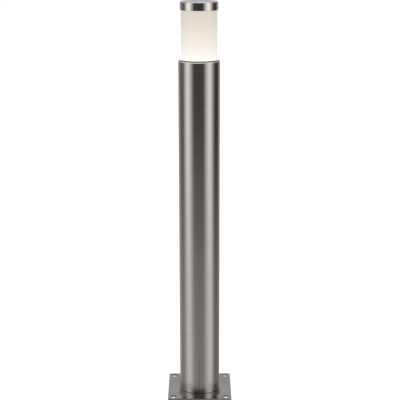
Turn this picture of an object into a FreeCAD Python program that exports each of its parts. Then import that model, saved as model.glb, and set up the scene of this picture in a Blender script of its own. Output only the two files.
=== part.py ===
import FreeCAD, Part
import math
import os

import Sketcher

# Bollard light: a round stainless post on a square foot plate, with an opal diffuser and a polished cap.
# Millimetres, +Z up, the origin under the middle of the foot plate. Every sub-part is one labelled object of
# the document, and its sizes follow the sheet below.

DRIVING_SIZES = [
    # the post
    ("total_height", 800, "ground to the top of the cap"),
    ("tube_diameter", 82, "outside of the post"),
    ("tube_wall", 1.5, "wall of the post"),
    ("plate_side", 130, "square foot plate"),
    ("plate_thickness", 3, "foot plate"),
    ("plate_corner", 1.5, "corner radius of the foot plate"),
    ("anchor_spacing", 108, "between neighbouring anchor holes"),
    ("anchor_hole", 10.5, "diameter for M10 anchors"),
    ("cable_hole", 40, "diameter of the cable entry"),
    ("weld_leg", 3, "leg of the weld inside the foot of the post"),
    # the head: rim, bayonet, diffuser, cap
    ("head_height", 114, "collar rim to the top of the cap"),
    ("collar_flange", 2, "part of the collar that sits on the post"),
    ("rim_bevel", 1.6, "bright bevel round the top of that part"),
    ("collar_depth", 20, "part of the collar inside the post"),
    ("ledge_height", 6, "lip that the bayonet lugs turn under"),
    ("collar_wall", 2.6, "skirt of the collar"),
    ("slip_fit", 0.1, "radial play of the collar in the post"),
    ("bayonet_play", 0.3, "play round the bayonet lugs"),
    ("lug_count", 3, "bayonet lugs"),
    ("lug_width", 10, "bayonet lug, along the rim"),
    ("lug_height", 5.5, "bayonet lug"),
    ("lug_reach", 2, "bayonet lug, out from the spigot"),
    ("lock_angle", 25, "turn from open to locked, in degrees"),
    ("spigot_length", 15, "below the gasket"),
    ("gasket_thickness", 2, "ring between collar and diffuser"),
    ("shade_flange", 5, "foot flange of the diffuser"),
    ("flange_inset", 0.5, "edge of that flange, in from the face of the post"),
    ("flange_step", 4.75, "from that flange in to the face of the diffuser"),
    ("shade_wall", 2.5, "wall of the diffuser"),
    ("cap_height", 17, "drawn cap"),
    ("cap_wall", 1.2, "sheet of the cap"),
    ("cap_round", 3.5, "top edge of the cap"),
    ("cap_play", 0.3, "between cap and diffuser"),
    ("cap_gasket", 1.5, "disc under the cap"),
    ("stud_diameter", 5, "M5 weld stud"),
    # the lamp holder, on a bridge across the post
    ("bridge_drop", 74, "collar rim to the top of the bridge"),
    ("bridge_width", 25, "bar"),
    ("bridge_sheet", 2, "bar"),
    ("bridge_lip", 12, "welded end of the bar"),
    ("tie_inset", 4.8, "bore of the collar in to each tie screw"),
    ("tie_diameter", 4, "M4 tie screw"),
    ("ear_width", 12, "ear of the collar"),
    ("ear_sheet", 3, "ear of the collar"),
    ("nipple_diameter", 10, "M10 hollow nipple"),
    ("nipple_bore", 8, "way through the nipple"),
    ("holder_diameter", 39, "ceramic body"),
    ("holder_height", 45, "ceramic body"),
    ("holder_floor", 13, "bridge to the floor of the socket"),
    ("screw_cap", 26, "E27 shell of the lamp"),
    ("screw_cap_length", 26, "contact of the lamp to the top of its shell"),
    ("button_height", 2, "middle contact above the floor of the socket"),
    # the lamp
    ("lamp_length", 108, "contact to the top of the globe"),
    ("globe_play", 4.5, "between lamp globe and spigot"),
    ("globe_seam", 15, "globe centre down to its seam"),
    # the wiring below the bridge
    ("bracket_sheet", 1.5, "bracket that carries the terminals"),
    ("bracket_width", 30, "bracket"),
    ("bracket_drop", 75, "bracket, below the bridge"),
    ("bracket_offset", 12, "axis to the face of the bracket"),
    ("pole_pitch", 9, "between terminal poles"),
    ("lead_diameter", 2.4, "insulated lead"),
    ("lead_offset", 2.6, "axis to each lead in the nipple"),
]

NEAR = 0.01  # how near an edge must lie to be taken as the one meant


class Size:
    """A length that carries its number and the sheet formula that gives it."""

    def __init__(self, value, formula):
        self.value = float(value)
        self.formula = formula

    def joined(self, sign, other, value):
        right = other.formula if isinstance(other, Size) else str(other)
        return Size(value, f"({self.formula} {sign} {right})")

    def __add__(self, other):
        return self.joined("+", other, self.value + number(other))

    __radd__ = __add__

    def __sub__(self, other):
        return self.joined("-", other, self.value - number(other))

    def __mul__(self, other):
        return self.joined("*", other, self.value * number(other))

    def __truediv__(self, other):
        return self.joined("/", other, self.value / number(other))

    def __neg__(self):
        return Size(-self.value, f"(-1 * {self.formula})")


def number(size):
    """The plain number of a Size or of a number."""
    return size.value if isinstance(size, Size) else float(size)


def make_sheet(document):
    """Write the driving sizes to a sheet, and return each as a Size under its alias."""
    sheet = document.addObject("Spreadsheet::Sheet", "Sizes")
    for row, (alias, value, note) in enumerate(DRIVING_SIZES, start=1):
        sheet.set(f"A{row}", alias)
        sheet.set(f"B{row}", str(value))
        sheet.set(f"C{row}", note)
        sheet.setAlias(f"B{row}", alias)
    document.recompute()
    return {alias: Size(sheet.get(alias), f"Sizes.{alias}") for alias, _, _ in DRIVING_SIZES}


doc = FreeCAD.newDocument("BollardLight")
sizes = make_sheet(doc)
nodes = []


# ---- small tools -------------------------------------------------------------------------------------

def bind(item, prop, size):
    """Give a property its sheet formula, or a plain number where the value is fixed."""
    if isinstance(size, Size):
        item.setExpression(prop, size.formula)


def place(item, x=0, y=0, z=0, axis=(0, 0, 1), turn=0):
    """Turn an item about an axis and stand it at a point that follows the sheet."""
    spot = FreeCAD.Vector(number(x), number(y), number(z))
    item.Placement = FreeCAD.Placement(spot, FreeCAD.Rotation(FreeCAD.Vector(*axis), turn))
    for name, size in (("x", x), ("y", y), ("z", z)):
        bind(item, f"Placement.Base.{name}", size)
    return item


def node(label, item):
    """Name a finished sub-part."""
    item.Label = label
    nodes.append(item)
    return item


def solid(kind, **lengths):
    """A Part primitive whose lengths follow the sheet."""
    item = doc.addObject(f"Part::{kind}", kind)
    for prop, size in lengths.items():
        setattr(item, prop, number(size))
        bind(item, prop, size)
    return item


def rod(radius, height, x=0, y=0, z=0, axis=(0, 0, 1), turn=0):
    """A cylinder that starts at a point."""
    return place(solid("Cylinder", Radius=radius, Height=height), x, y, z, axis, turn)


def block(length, width, height, x=0, y=0, z=0):
    """A box centred on x and y, standing at z."""
    item = solid("Box", Length=length, Width=width, Height=height)
    return place(item, as_size(x) - as_size(length) / 2, as_size(y) - as_size(width) / 2, z)


def as_size(value):
    """Any number as a Size."""
    return value if isinstance(value, Size) else Size(value, str(value))


def cut(base, *tools):
    """A base less its tools."""
    result = base
    for tool in tools:
        step = doc.addObject("Part::Cut", "Cut")
        step.Base = result
        step.Tool = tool
        result = step
    return result


def fuse(*items):
    """Items joined into one solid."""
    result = doc.addObject("Part::MultiFuse", "Fusion")
    result.Shapes = list(items)
    return result


def common(base, tool):
    """What two solids share."""
    result = doc.addObject("Part::Common", "Common")
    result.Base = base
    result.Tool = tool
    return result


def group(items):
    """Separate solids of one node, such as a set of screws."""
    result = doc.addObject("Part::Compound", "Group")
    result.Links = list(items)
    return result


def tube(outer, inner, height, x=0, y=0, z=0, axis=(0, 0, 1), turn=0):
    """A round tube or ring that starts at a point."""
    ring = cut(solid("Cylinder", Radius=outer, Height=height), solid("Cylinder", Radius=inner, Height=height))
    return place(ring, x, y, z, axis, turn)


def hexagon(across_flats, height, bore, x=0, y=0, z=0):
    """A hexagonal nut with a bore, its flats facing +Y and -Y."""
    prism = solid("Prism", Circumradius=as_size(across_flats) / math.sqrt(3), Height=height)
    prism.Polygon = 6
    return place(cut(prism, solid("Cylinder", Radius=bore, Height=height)), x, y, z)


def screw(thread, length, head_diameter, head_height):
    """A pan-head screw whose head stands on the origin and whose shank points down."""
    shank = rod(as_size(thread) / 2, as_size(length), z=-as_size(length))
    head = rod(as_size(head_diameter) / 2, as_size(head_height))
    rounded = doc.addObject("Part::Fillet", "HeadRound")
    rounded.Base = head
    doc.recompute()
    top = [i for i, e in enumerate(head.Shape.Edges, start=1) if e.BoundBox.ZMin > number(head_height) - NEAR]
    rounded.Edges = [(i, number(head_height) * 0.4, number(head_height) * 0.4) for i in top]
    slot = block(number(head_diameter) * 1.2, 0.8, head_height, z=as_size(head_height) * 0.6)
    return cut(fuse(shank, rounded), slot)


# ---- sketches and features of a body -----------------------------------------------------------------

def new_body(label, z=0):
    """A PartDesign body that stands at a height and is a sub-part of its own."""
    body = doc.addObject("PartDesign::Body", label)
    place(body, z=z)
    return node(label, body)


def new_sketch(body, plane, lift=0):
    """A sketch on one of the body's own origin planes, lifted along the plane's normal."""
    sketch = body.newObject("Sketcher::SketchObject", "Sketch")
    support = next(item for item in body.Origin.OriginFeatures if item.Role == plane)
    sketch.AttachmentSupport = (support, "")
    sketch.MapMode = "FlatFace"
    sketch.AttachmentOffset = FreeCAD.Placement(FreeCAD.Vector(0, 0, number(lift)), FreeCAD.Rotation())
    bind(sketch, "AttachmentOffset.Base.z", lift)
    return sketch


def pin(sketch, curve, end, axis, size):
    """Hold one end of a sketch line at a distance from the origin along one axis."""
    size = as_size(size)
    if abs(size.value) < 1e-9:
        other_axis = -2 if axis == "X" else -1
        sketch.addConstraint(Sketcher.Constraint("PointOnObject", curve, end, other_axis))
        return
    ends = (-1, 1, curve, end) if size.value > 0 else (curve, end, -1, 1)
    held = size if size.value > 0 else -size
    index = sketch.addConstraint(Sketcher.Constraint(f"Distance{axis}", *ends, held.value))
    bind(sketch, f"Constraints[{index}]", held)


def outline(sketch, points):
    """Draw a closed outline of straight lines through points that follow the sheet."""
    count = len(points)
    spots = [FreeCAD.Vector(number(x), number(y), 0) for x, y in points]
    for index in range(count):
        sketch.addGeometry(Part.LineSegment(spots[index], spots[(index + 1) % count]), False)
    for index in range(count):
        sketch.addConstraint(Sketcher.Constraint("Coincident", index, 2, (index + 1) % count, 1))
    for index, (x, y) in enumerate(points):
        pin(sketch, index, 1, "X", x)
        pin(sketch, index, 1, "Y", y)
    return sketch


def rectangle(sketch, width, depth, x=0, y=0):
    """Draw a rectangle centred on a point."""
    x, y = as_size(x), as_size(y)
    left, right = x - as_size(width) / 2, x + as_size(width) / 2
    front, back = y - as_size(depth) / 2, y + as_size(depth) / 2
    return outline(sketch, [(left, front), (right, front), (right, back), (left, back)])


def circle(sketch, radius, x=0, y=0):
    """Draw a circle, and return the sketch."""
    index = sketch.addGeometry(
        Part.Circle(FreeCAD.Vector(number(x), number(y), 0), FreeCAD.Vector(0, 0, 1), number(radius)), False
    )
    if number(x) == 0 and number(y) == 0:
        sketch.addConstraint(Sketcher.Constraint("Coincident", index, 3, -1, 1))
    else:
        pin(sketch, index, 3, "X", x)
        pin(sketch, index, 3, "Y", y)
    held = sketch.addConstraint(Sketcher.Constraint("Radius", index, number(radius)))
    bind(sketch, f"Constraints[{held}]", as_size(radius))
    return sketch


def feature(body, kind, sketch, **values):
    """A PartDesign feature on a sketch."""
    item = body.newObject(f"PartDesign::{kind}", kind)
    item.Profile = sketch
    for prop, size in values.items():
        setattr(item, prop, size if isinstance(size, (bool, str)) else number(size))
        bind(item, prop, size)
    sketch.Visibility = False
    doc.recompute()
    return item


def revolve(body, points):
    """Turn an outline of (radius, height) points a full turn about the vertical axis."""
    sketch = outline(new_sketch(body, "XZ_Plane"), points)
    item = body.newObject("PartDesign::Revolution", "Revolution")
    item.Profile = sketch
    item.ReferenceAxis = (sketch, ["V_Axis"])
    item.Angle = 360
    doc.recompute()
    return item


def around(body, item, count):
    """Repeat a feature evenly about the vertical axis."""
    pattern = body.newObject("PartDesign::PolarPattern", "PolarPattern")
    pattern.Originals = [item]
    pattern.Axis = (next(f for f in body.Origin.OriginFeatures if f.Role == "Z_Axis"), [""])
    pattern.Angle = 360
    pattern.Occurrences = int(number(count))
    bind(pattern, "Occurrences", count)
    body.Tip = pattern
    doc.recompute()
    return pattern


def ring_edges(item, radius, height):
    """The circular edges at one radius and height about the vertical axis."""
    names = []
    for index, edge in enumerate(item.Shape.Edges, start=1):
        curve = edge.Curve
        if not isinstance(curve, Part.Circle) or math.hypot(curve.Center.x, curve.Center.y) > NEAR:
            continue
        if abs(curve.Radius - number(radius)) < NEAR and abs(curve.Center.z - number(height)) < NEAR:
            names.append(f"Edge{index}")
    return names


def upright_edges(item, reach):
    """The vertical edges further than a reach from the axis."""
    names = []
    for index, edge in enumerate(item.Shape.Edges, start=1):
        box = edge.BoundBox
        upright = box.XLength < NEAR and box.YLength < NEAR and box.ZLength > NEAR
        if upright and math.hypot(box.XMin, box.YMin) > number(reach):
            names.append(f"Edge{index}")
    return names


def soften(body, kind, item, edges, size):
    """Round (Fillet) or bevel (Chamfer) some edges of a feature."""
    step = body.newObject(f"PartDesign::{kind}", kind)
    step.Base = (item, edges)
    prop = "Radius" if kind == "Fillet" else "Size"
    setattr(step, prop, number(size))
    bind(step, prop, size)
    body.Tip = step
    doc.recompute()
    return step


# ---- levels and radii that several sub-parts share ---------------------------------------------------

tube_outer = sizes["tube_diameter"] / 2
tube_inner = tube_outer - sizes["tube_wall"]
plate_top = sizes["plate_thickness"]
rim = sizes["total_height"] - sizes["head_height"]
tube_top = rim - sizes["collar_flange"]
skirt_outer = tube_inner - sizes["slip_fit"]
notch_bore = skirt_outer - sizes["collar_wall"]
lug_outer = notch_bore - sizes["bayonet_play"]
spigot_outer = lug_outer - sizes["lug_reach"]
ledge_bore = spigot_outer + sizes["bayonet_play"]
flange_outer = tube_outer - sizes["flange_inset"]
shade_outer = flange_outer - sizes["flange_step"]
gasket_top = rim + sizes["gasket_thickness"]
bridge_top = rim - sizes["bridge_drop"]
bridge_under = bridge_top - sizes["bridge_sheet"]
tie_radius = sizes["tie_diameter"] / 2
tie_offset = notch_bore - sizes["tie_inset"]
ear_under = tube_top - sizes["collar_depth"]
socket_floor = bridge_top + sizes["holder_floor"]
contact_top = socket_floor + sizes["button_height"]
lug_top = ear_under + sizes["collar_depth"] + sizes["collar_flange"] - sizes["ledge_height"] - sizes["bayonet_play"]
globe_radius = spigot_outer - sizes["shade_wall"] - sizes["globe_play"]
globe_middle = contact_top + sizes["lamp_length"] - globe_radius
globe_seam = globe_middle - sizes["globe_seam"]
lead_radius = sizes["lead_diameter"] / 2
terminal_x = 5
terminal_y = [-sizes["pole_pitch"], as_size(0), sizes["pole_pitch"]]
terminal_height = 20
terminal_low = bridge_under - 50
terminal_screw_levels = [5, 15]
tab_end = tie_offset - tie_radius - 1
rivet_x, rivet_y = tab_end - 6, 8
earth_x, earth_y = -(tie_offset - 5), sizes["pole_pitch"]


def curved_block(sketch, width, near, radius):
    """Draw a block across the +Y axis, from a straight near side to an outer side on a circle about the origin."""
    half, near = as_size(width) / 2, as_size(near)
    side = math.sqrt(number(radius) ** 2 - half.value ** 2)
    tilt = math.atan2(side, half.value)
    low_left, low_right = FreeCAD.Vector(-half.value, near.value, 0), FreeCAD.Vector(half.value, near.value, 0)
    top_right, top_left = FreeCAD.Vector(half.value, side, 0), FreeCAD.Vector(-half.value, side, 0)
    sketch.addGeometry(Part.LineSegment(low_left, low_right), False)
    sketch.addGeometry(Part.LineSegment(low_right, top_right), False)
    ring = Part.Circle(FreeCAD.Vector(), FreeCAD.Vector(0, 0, 1), number(radius))
    sketch.addGeometry(Part.ArcOfCircle(ring, tilt, math.pi - tilt), False)
    sketch.addGeometry(Part.LineSegment(top_left, low_left), False)
    for first, first_end, second, second_end in ((0, 2, 1, 1), (1, 2, 2, 1), (2, 2, 3, 1), (3, 2, 0, 1)):
        sketch.addConstraint(Sketcher.Constraint("Coincident", first, first_end, second, second_end))
    sketch.addConstraint(Sketcher.Constraint("Coincident", 2, 3, -1, 1))
    held = sketch.addConstraint(Sketcher.Constraint("Radius", 2, number(radius)))
    bind(sketch, f"Constraints[{held}]", as_size(radius))
    for curve in (1, 3):
        sketch.addConstraint(Sketcher.Constraint("Vertical", curve))
    pin(sketch, 0, 1, "X", -half)
    pin(sketch, 0, 1, "Y", near)
    pin(sketch, 0, 2, "X", half)
    pin(sketch, 0, 2, "Y", near)
    return sketch


def turned(sketch, angle):
    """Turn a sketch about the vertical axis by an angle in degrees that may follow the sheet."""
    offset = sketch.AttachmentOffset
    sketch.AttachmentOffset = FreeCAD.Placement(offset.Base, FreeCAD.Rotation(FreeCAD.Vector(0, 0, 1), angle.value))
    sketch.setExpression("AttachmentOffset.Rotation.Angle", angle.formula)
    return sketch


# ---- the post ----------------------------------------------------------------------------------------

def make_base_plate():
    side, thick = sizes["plate_side"], sizes["plate_thickness"]
    body = new_body("base_plate")
    pad = feature(body, "Pad", rectangle(new_sketch(body, "XY_Plane"), side, side), Length=thick)
    soften(body, "Fillet", pad, upright_edges(pad, side / 2), sizes["plate_corner"])
    entry = circle(new_sketch(body, "XY_Plane", thick), sizes["cable_hole"] / 2)
    feature(body, "Pocket", entry, Length=thick)
    corner = sizes["anchor_spacing"] / 2
    anchor = circle(new_sketch(body, "XY_Plane", thick), sizes["anchor_hole"] / 2, corner, corner)
    around(body, feature(body, "Pocket", anchor, Length=thick), 4)


def make_post_tube():
    body = new_body("post_tube", plate_top)
    ring = circle(circle(new_sketch(body, "XY_Plane"), tube_outer), tube_inner)
    feature(body, "Pad", ring, Length=tube_top - plate_top)


def make_base_weld():
    """The bead in the corner between the foot plate and the inside of the post."""
    leg = sizes["weld_leg"]
    body = new_body("base_weld", plate_top)
    revolve(body, [(tube_inner - leg, 0), (tube_inner, 0), (tube_inner, leg)])


# ---- the collar with its bayonet ---------------------------------------------------------------------

def make_head_collar():
    """The ring in the top of the post: a lip with entry notches, stops under it, and two ears for tie screws."""
    depth, flange, play = sizes["collar_depth"], sizes["collar_flange"], sizes["bayonet_play"]
    top = depth + flange
    ledge = top - sizes["ledge_height"]
    body = new_body("head_collar", ear_under)
    ring = revolve(body, [
        (notch_bore, 0), (skirt_outer, 0), (skirt_outer, depth), (tube_outer, depth),
        (tube_outer, top), (ledge_bore, top), (ledge_bore, ledge), (notch_bore, ledge),
    ])
    soften(body, "Chamfer", ring, ring_edges(ring, tube_outer, top), sizes["rim_bevel"])
    notch = curved_block(new_sketch(body, "XY_Plane", top), sizes["lug_width"] + play * 2, ledge_bore - 2, notch_bore)
    around(body, feature(body, "Pocket", notch, Length=sizes["ledge_height"]), sizes["lug_count"])
    stop_width = 3
    reach = (sizes["lug_width"] / 2 + play + stop_width / 2) / ledge_bore
    beside = Size(math.degrees(math.asin(reach.value)), f"asin({reach.formula})")
    lock = Size(sizes["lock_angle"].value, f"{sizes['lock_angle'].formula} * 1 deg")
    for angle in (beside, -(beside + lock)):
        stop = curved_block(new_sketch(body, "XY_Plane", ledge - sizes["lug_height"]), stop_width, ledge_bore,
                            notch_bore + 1)
        stop_pad = feature(body, "Pad", turned(stop, angle), Length=sizes["lug_height"])
        around(body, stop_pad, sizes["lug_count"])
    ear_inner = tie_offset - sizes["ear_width"] / 2
    ear = curved_block(new_sketch(body, "XY_Plane"), sizes["ear_width"], ear_inner, notch_bore + 1)
    circle(ear, tie_radius + 0.25, 0, tie_offset)
    around(body, feature(body, "Pad", turned(ear, Size(90, "90 deg")), Length=sizes["ear_sheet"]), 2)


def make_tie_screws():
    """The two long screws that draw the collar down to the bridge."""
    head_seat = ear_under + sizes["ear_sheet"]
    past_bridge = 3
    length = head_seat - bridge_under + past_bridge
    screws = []
    for side in (1, -1):
        x = tie_offset if side > 0 else -tie_offset
        screws.append(place(screw(sizes["tie_diameter"], length, 7, 2.8), x, 0, head_seat))
    node("collar_tie_screws", group(screws))


# ---- the bridge and the lamp holder ------------------------------------------------------------------

def make_bridge():
    """The bar across the post, with its two ends turned down along the wall and welded there."""
    lip, sheet = sizes["bridge_lip"], sizes["bridge_sheet"]
    slab = common(rod(tube_inner, lip), block(sizes["tube_diameter"], sizes["bridge_width"], lip))
    hollow = rod(tube_inner - sheet, lip - sheet)
    holes = [rod(sizes["nipple_diameter"] / 2 + 0.1, lip)]
    holes += [rod(tie_radius, lip, x) for x in (tie_offset, -tie_offset)]
    holes += [rod(1.6, lip, rivet_x, y) for y in (rivet_y, -rivet_y)]
    holes.append(rod(2, lip, earth_x, earth_y))
    node("bridge", place(cut(slab, hollow, *holes), z=bridge_top - lip))


def make_lamp_holder_body():
    """The ceramic body: a foot on the bridge, a chamber for the leads, and the open socket above its floor."""
    outer = sizes["holder_diameter"] / 2
    floor, height = sizes["holder_floor"], sizes["holder_height"]
    nipple, bore, rivet = sizes["nipple_diameter"] / 2, sizes["screw_cap"] / 2 + 2, 1.2
    foot, foot_wall, chamber, floor_wall = outer - 2.5, 3, 12.5, 4
    body = new_body("lamp_holder_body", bridge_top)
    shell = revolve(body, [
        (nipple, 0), (foot, 0), (foot, 8), (outer, 11), (outer, height), (bore, height), (bore, floor),
        (rivet, floor), (rivet, floor - floor_wall), (chamber, floor - floor_wall), (chamber, foot_wall),
        (nipple, foot_wall),
    ])
    soften(body, "Fillet", shell, ring_edges(shell, outer, height), 1.5)
    slot = rectangle(new_sketch(body, "XY_Plane", floor), 4.4, 1, 0, 11.6)
    feature(body, "Pocket", slot, Length=floor_wall)


def make_lamp_holder_shell():
    """The brass sleeve that takes the lamp's thread, with the tag that its lead is soldered to."""
    inner = sizes["screw_cap"] / 2 + 0.3
    tag_width, tag_sheet, tag_depth, tag_far = 4, 0.8, 7, 12
    tag_near = sizes["lead_offset"] + lead_radius
    body = new_body("lamp_holder_shell", socket_floor)
    revolve(body, [
        (9, 0), (inner + 1.5, 0), (inner + 1.5, 1), (inner + 1, 1), (inner + 1, 27), (inner, 27), (inner, 1), (9, 1),
    ])
    drop = rectangle(new_sketch(body, "XY_Plane", -tag_depth), tag_width, tag_sheet, 0, tag_far - tag_sheet / 2)
    feature(body, "Pad", drop, Length=tag_depth + 0.5)
    tongue = rectangle(new_sketch(body, "XY_Plane", -tag_depth), tag_width, -(tag_near - tag_far), 0,
                       (tag_near + tag_far) / 2)
    feature(body, "Pad", tongue, Length=tag_sheet)


def make_lamp_holder_contact():
    """The middle contact on the floor of the socket, with its rivet through the floor."""
    rivet_length = 8
    button = rod(6, sizes["button_height"], z=rivet_length)
    whole = fuse(button, rod(1.2, rivet_length + 0.5))
    node("lamp_holder_contact", place(whole, z=socket_floor - rivet_length))


def make_nipple():
    """The hollow threaded pipe that holds the lamp holder on the bridge, and its nut below."""
    outer, below, above = sizes["nipple_diameter"] / 2, 7, 3
    pipe = tube(outer, sizes["nipple_bore"] / 2, bridge_top - bridge_under + below + above, z=bridge_under - below)
    node("holder_nipple", pipe)
    node("holder_nut", hexagon(14, 3, outer, z=bridge_under - 3))


# ---- the lamp ----------------------------------------------------------------------------------------

def make_lamp():
    """An LED lamp on an E27 cap: contact, insulator, threaded shell, housing, board, chips and globe."""
    shell_radius = sizes["screw_cap"] / 2
    insulator_low, shell_low = contact_top + 1.5, contact_top + 6
    shell_top = contact_top + sizes["screw_cap_length"]
    node("lamp_contact", rod(4.8, 1.5, z=contact_top))
    cone = solid("Cone", Radius1=5, Radius2=shell_radius - 1.5, Height=4.5)
    node("lamp_insulator", place(cone, z=insulator_low))
    node("lamp_shell", rod(shell_radius, shell_top - shell_low, z=shell_low))

    seam_radius = Size(
        math.sqrt(globe_radius.value ** 2 - sizes["globe_seam"].value ** 2),
        f"sqrt({globe_radius.formula} ^ 2 - {sizes['globe_seam'].formula} ^ 2)",
    )
    rise = globe_seam - shell_top
    body = new_body("lamp_housing", shell_top)
    rings = [(0, shell_radius + 0.6), (rise * 0.25, shell_radius + 2.5), (rise * 0.65, seam_radius - 3.5),
             (rise, seam_radius)]
    sections = [circle(new_sketch(body, "XY_Plane", height), radius) for height, radius in rings]
    loft = body.newObject("PartDesign::AdditiveLoft", "AdditiveLoft")
    loft.Profile = sections[0]
    loft.Sections = sections[1:]
    doc.recompute()

    globe_wall = 1.2
    inner = globe_radius - globe_wall
    low_angle = Size(
        -math.degrees(math.asin((sizes["globe_seam"] / globe_radius).value)),
        f"(-1 * asin({(sizes['globe_seam'] / globe_radius).formula}))",
    )
    ball = solid("Sphere", Radius=globe_radius, Angle1=low_angle)
    hollow = solid("Sphere", Radius=inner)
    node("lamp_globe", place(cut(ball, hollow), z=globe_middle))

    board = 1.6
    node("lamp_board", rod(seam_radius - 6, board, z=globe_seam))
    chip_count, chip_ring = 8, seam_radius - 11
    chips = []
    for index in range(chip_count):
        turn = index * 360 / chip_count
        chip = solid("Box", Length=3, Width=3, Height=0.8)
        chip.setExpression("Placement.Base.x", f"({chip_ring.formula}) * cos({turn} deg) - 1.5")
        chip.setExpression("Placement.Base.y", f"({chip_ring.formula}) * sin({turn} deg) - 1.5")
        bind(chip, "Placement.Base.z", globe_seam + board)
        chips.append(chip)
    node("lamp_chips", group(chips))


# ---- the gasket, the diffuser and the cap ------------------------------------------------------------

def make_head_gasket():
    inner = spigot_outer + sizes["bayonet_play"]
    node("head_gasket", tube(tube_outer - sizes["rim_bevel"], inner, sizes["gasket_thickness"], z=rim))


def make_diffuser():
    """The opal moulding: spigot with bayonet lugs, rounded foot flange, cylinder and closed top."""
    wall, flange = sizes["shade_wall"], sizes["shade_flange"]
    spigot_low = -(sizes["spigot_length"] + sizes["gasket_thickness"])
    top = sizes["total_height"] - sizes["cap_wall"] - sizes["cap_gasket"] - gasket_top
    foot_round, root_round = 2, 2.7
    body = new_body("diffuser", gasket_top)
    shell = revolve(body, [
        (spigot_outer - wall, spigot_low), (spigot_outer, spigot_low), (spigot_outer, 0), (flange_outer, 0),
        (flange_outer, flange), (shade_outer, flange), (shade_outer, top), (0, top), (0, top - wall),
        (shade_outer - wall, top - wall), (shade_outer - wall, 2), (spigot_outer - wall, 0),
    ])
    shell = soften(body, "Fillet", shell, ring_edges(shell, shade_outer, flange), root_round)
    shell = soften(body, "Fillet", shell, ring_edges(shell, flange_outer, flange), foot_round)
    soften(body, "Fillet", shell, ring_edges(shell, shade_outer, top), wall / 2)
    lug_low = lug_top - sizes["lug_height"] - gasket_top
    lug = curved_block(new_sketch(body, "XY_Plane", lug_low), sizes["lug_width"], spigot_outer - 1, lug_outer)
    around(body, feature(body, "Pad", lug, Length=sizes["lug_height"]), sizes["lug_count"])
    stud_way = circle(new_sketch(body, "XY_Plane", top), sizes["stud_diameter"] / 2 + 0.25)
    feature(body, "Pocket", stud_way, Length=wall)


def make_cap():
    """The drawn cap, its gasket, and the stud, washers and nut that hold it to the top of the diffuser."""
    wall, height, edge = sizes["cap_wall"], sizes["cap_height"], sizes["cap_round"]
    inner = shade_outer + sizes["cap_play"]
    outer = inner + wall
    body = new_body("cap", sizes["total_height"] - height)
    drawn = revolve(body, [
        (inner, 0), (outer, 0), (outer, height), (0, height), (0, height - wall), (inner, height - wall),
    ])
    drawn = soften(body, "Fillet", drawn, ring_edges(drawn, outer, height), edge)
    soften(body, "Fillet", drawn, ring_edges(drawn, inner, height - wall), edge - wall)

    underside = sizes["total_height"] - wall
    ceiling = underside - sizes["cap_gasket"]
    inside = ceiling - sizes["shade_wall"]
    thread = sizes["stud_diameter"] / 2
    base_radius, base_height, seal, washer, nut = 3.5, 0.8, 1.5, 0.8, 4
    past_nut = 2.5
    stud_length = underside - inside + seal + washer + nut + past_nut
    shank = rod(thread, stud_length)
    foot = rod(base_radius, base_height, z=stud_length - base_height)
    node("cap_stud", place(fuse(shank, foot), z=underside - stud_length))
    node("cap_gasket", tube(shade_outer - 5, base_radius + 0.5, sizes["cap_gasket"], z=ceiling))
    node("cap_seal", tube(6, thread + 0.1, seal, z=inside - seal))
    node("cap_washer", tube(5.5, thread + 0.1, washer, z=inside - seal - washer))
    node("cap_nut", hexagon(8, nut, thread, z=inside - seal - washer - nut))


# ---- the terminals and leads under the bridge --------------------------------------------------------

def bend_edges(item, x, z):
    """The edges along Y at one place of a bent sheet."""
    names = []
    for index, edge in enumerate(item.Shape.Edges, start=1):
        box = edge.BoundBox
        level = abs(box.ZMin - number(z)) < NEAR and box.ZLength < NEAR
        if level and abs(box.XMin - number(x)) < NEAR and box.XLength < NEAR:
            names.append(f"Edge{index}")
    return names


def make_terminal_bracket():
    sheet, drop, face = sizes["bracket_sheet"], sizes["bracket_drop"], sizes["bracket_offset"]
    body = new_body("terminal_bracket", bridge_under)
    profile = outline(new_sketch(body, "XZ_Plane"), [
        (face, -drop), (face + sheet, -drop), (face + sheet, -sheet), (tab_end, -sheet), (tab_end, 0), (face, 0),
    ])
    pad = feature(body, "Pad", profile, SideType="Symmetric", Length=sizes["bracket_width"])
    bent = soften(body, "Fillet", pad, bend_edges(pad, face, 0), sheet * 1.6)
    soften(body, "Fillet", bent, bend_edges(bent, face + sheet, -sheet), sheet * 0.6)
    for y in (rivet_y, -rivet_y):
        feature(body, "Pocket", circle(new_sketch(body, "XY_Plane"), 1.6, rivet_x, y), Length=sheet)
    fixings = new_sketch(body, "YZ_Plane")
    middle = terminal_low - bridge_under + terminal_height / 2
    for y in fixing_places():
        circle(fixings, 1.5, y, middle)
    for y in clamp_screw_places():
        circle(fixings, 1.5, y, clamp_level() - bridge_under)
    feature(body, "Pocket", fixings, SideType="Symmetric", Length=(face + sheet) * 2 + 2)
    rivets = []
    for y in (rivet_y, -rivet_y):
        stem = rod(1.6, sheet + sizes["bridge_sheet"], rivet_x, y, bridge_under - sheet)
        upper = rod(3, 1.2, rivet_x, y, bridge_top)
        lower = rod(2.6, 1.2, rivet_x, y, bridge_under - sheet - 1.2)
        rivets.append(fuse(stem, upper, lower))
    node("bracket_rivets", group(rivets))


def fixing_places():
    """Where the two screws pass between the poles of the terminal block."""
    return [sizes["pole_pitch"] / 2, -(sizes["pole_pitch"] / 2)]


def clamp_screw_places():
    """Where the two screws of the cable clamp sit across the bracket."""
    return [sizes["bracket_width"] / 2 - 5, -(sizes["bracket_width"] / 2 - 5)]


def clamp_level():
    """The height of the middle of the cable clamp."""
    return bridge_under - sizes["bracket_drop"] + 8


def level_rod(radius, length, x, y, z):
    """A cylinder that runs along +X from a point."""
    return rod(radius, length, x, y, z, axis=(0, 1, 0), turn=90)


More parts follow.
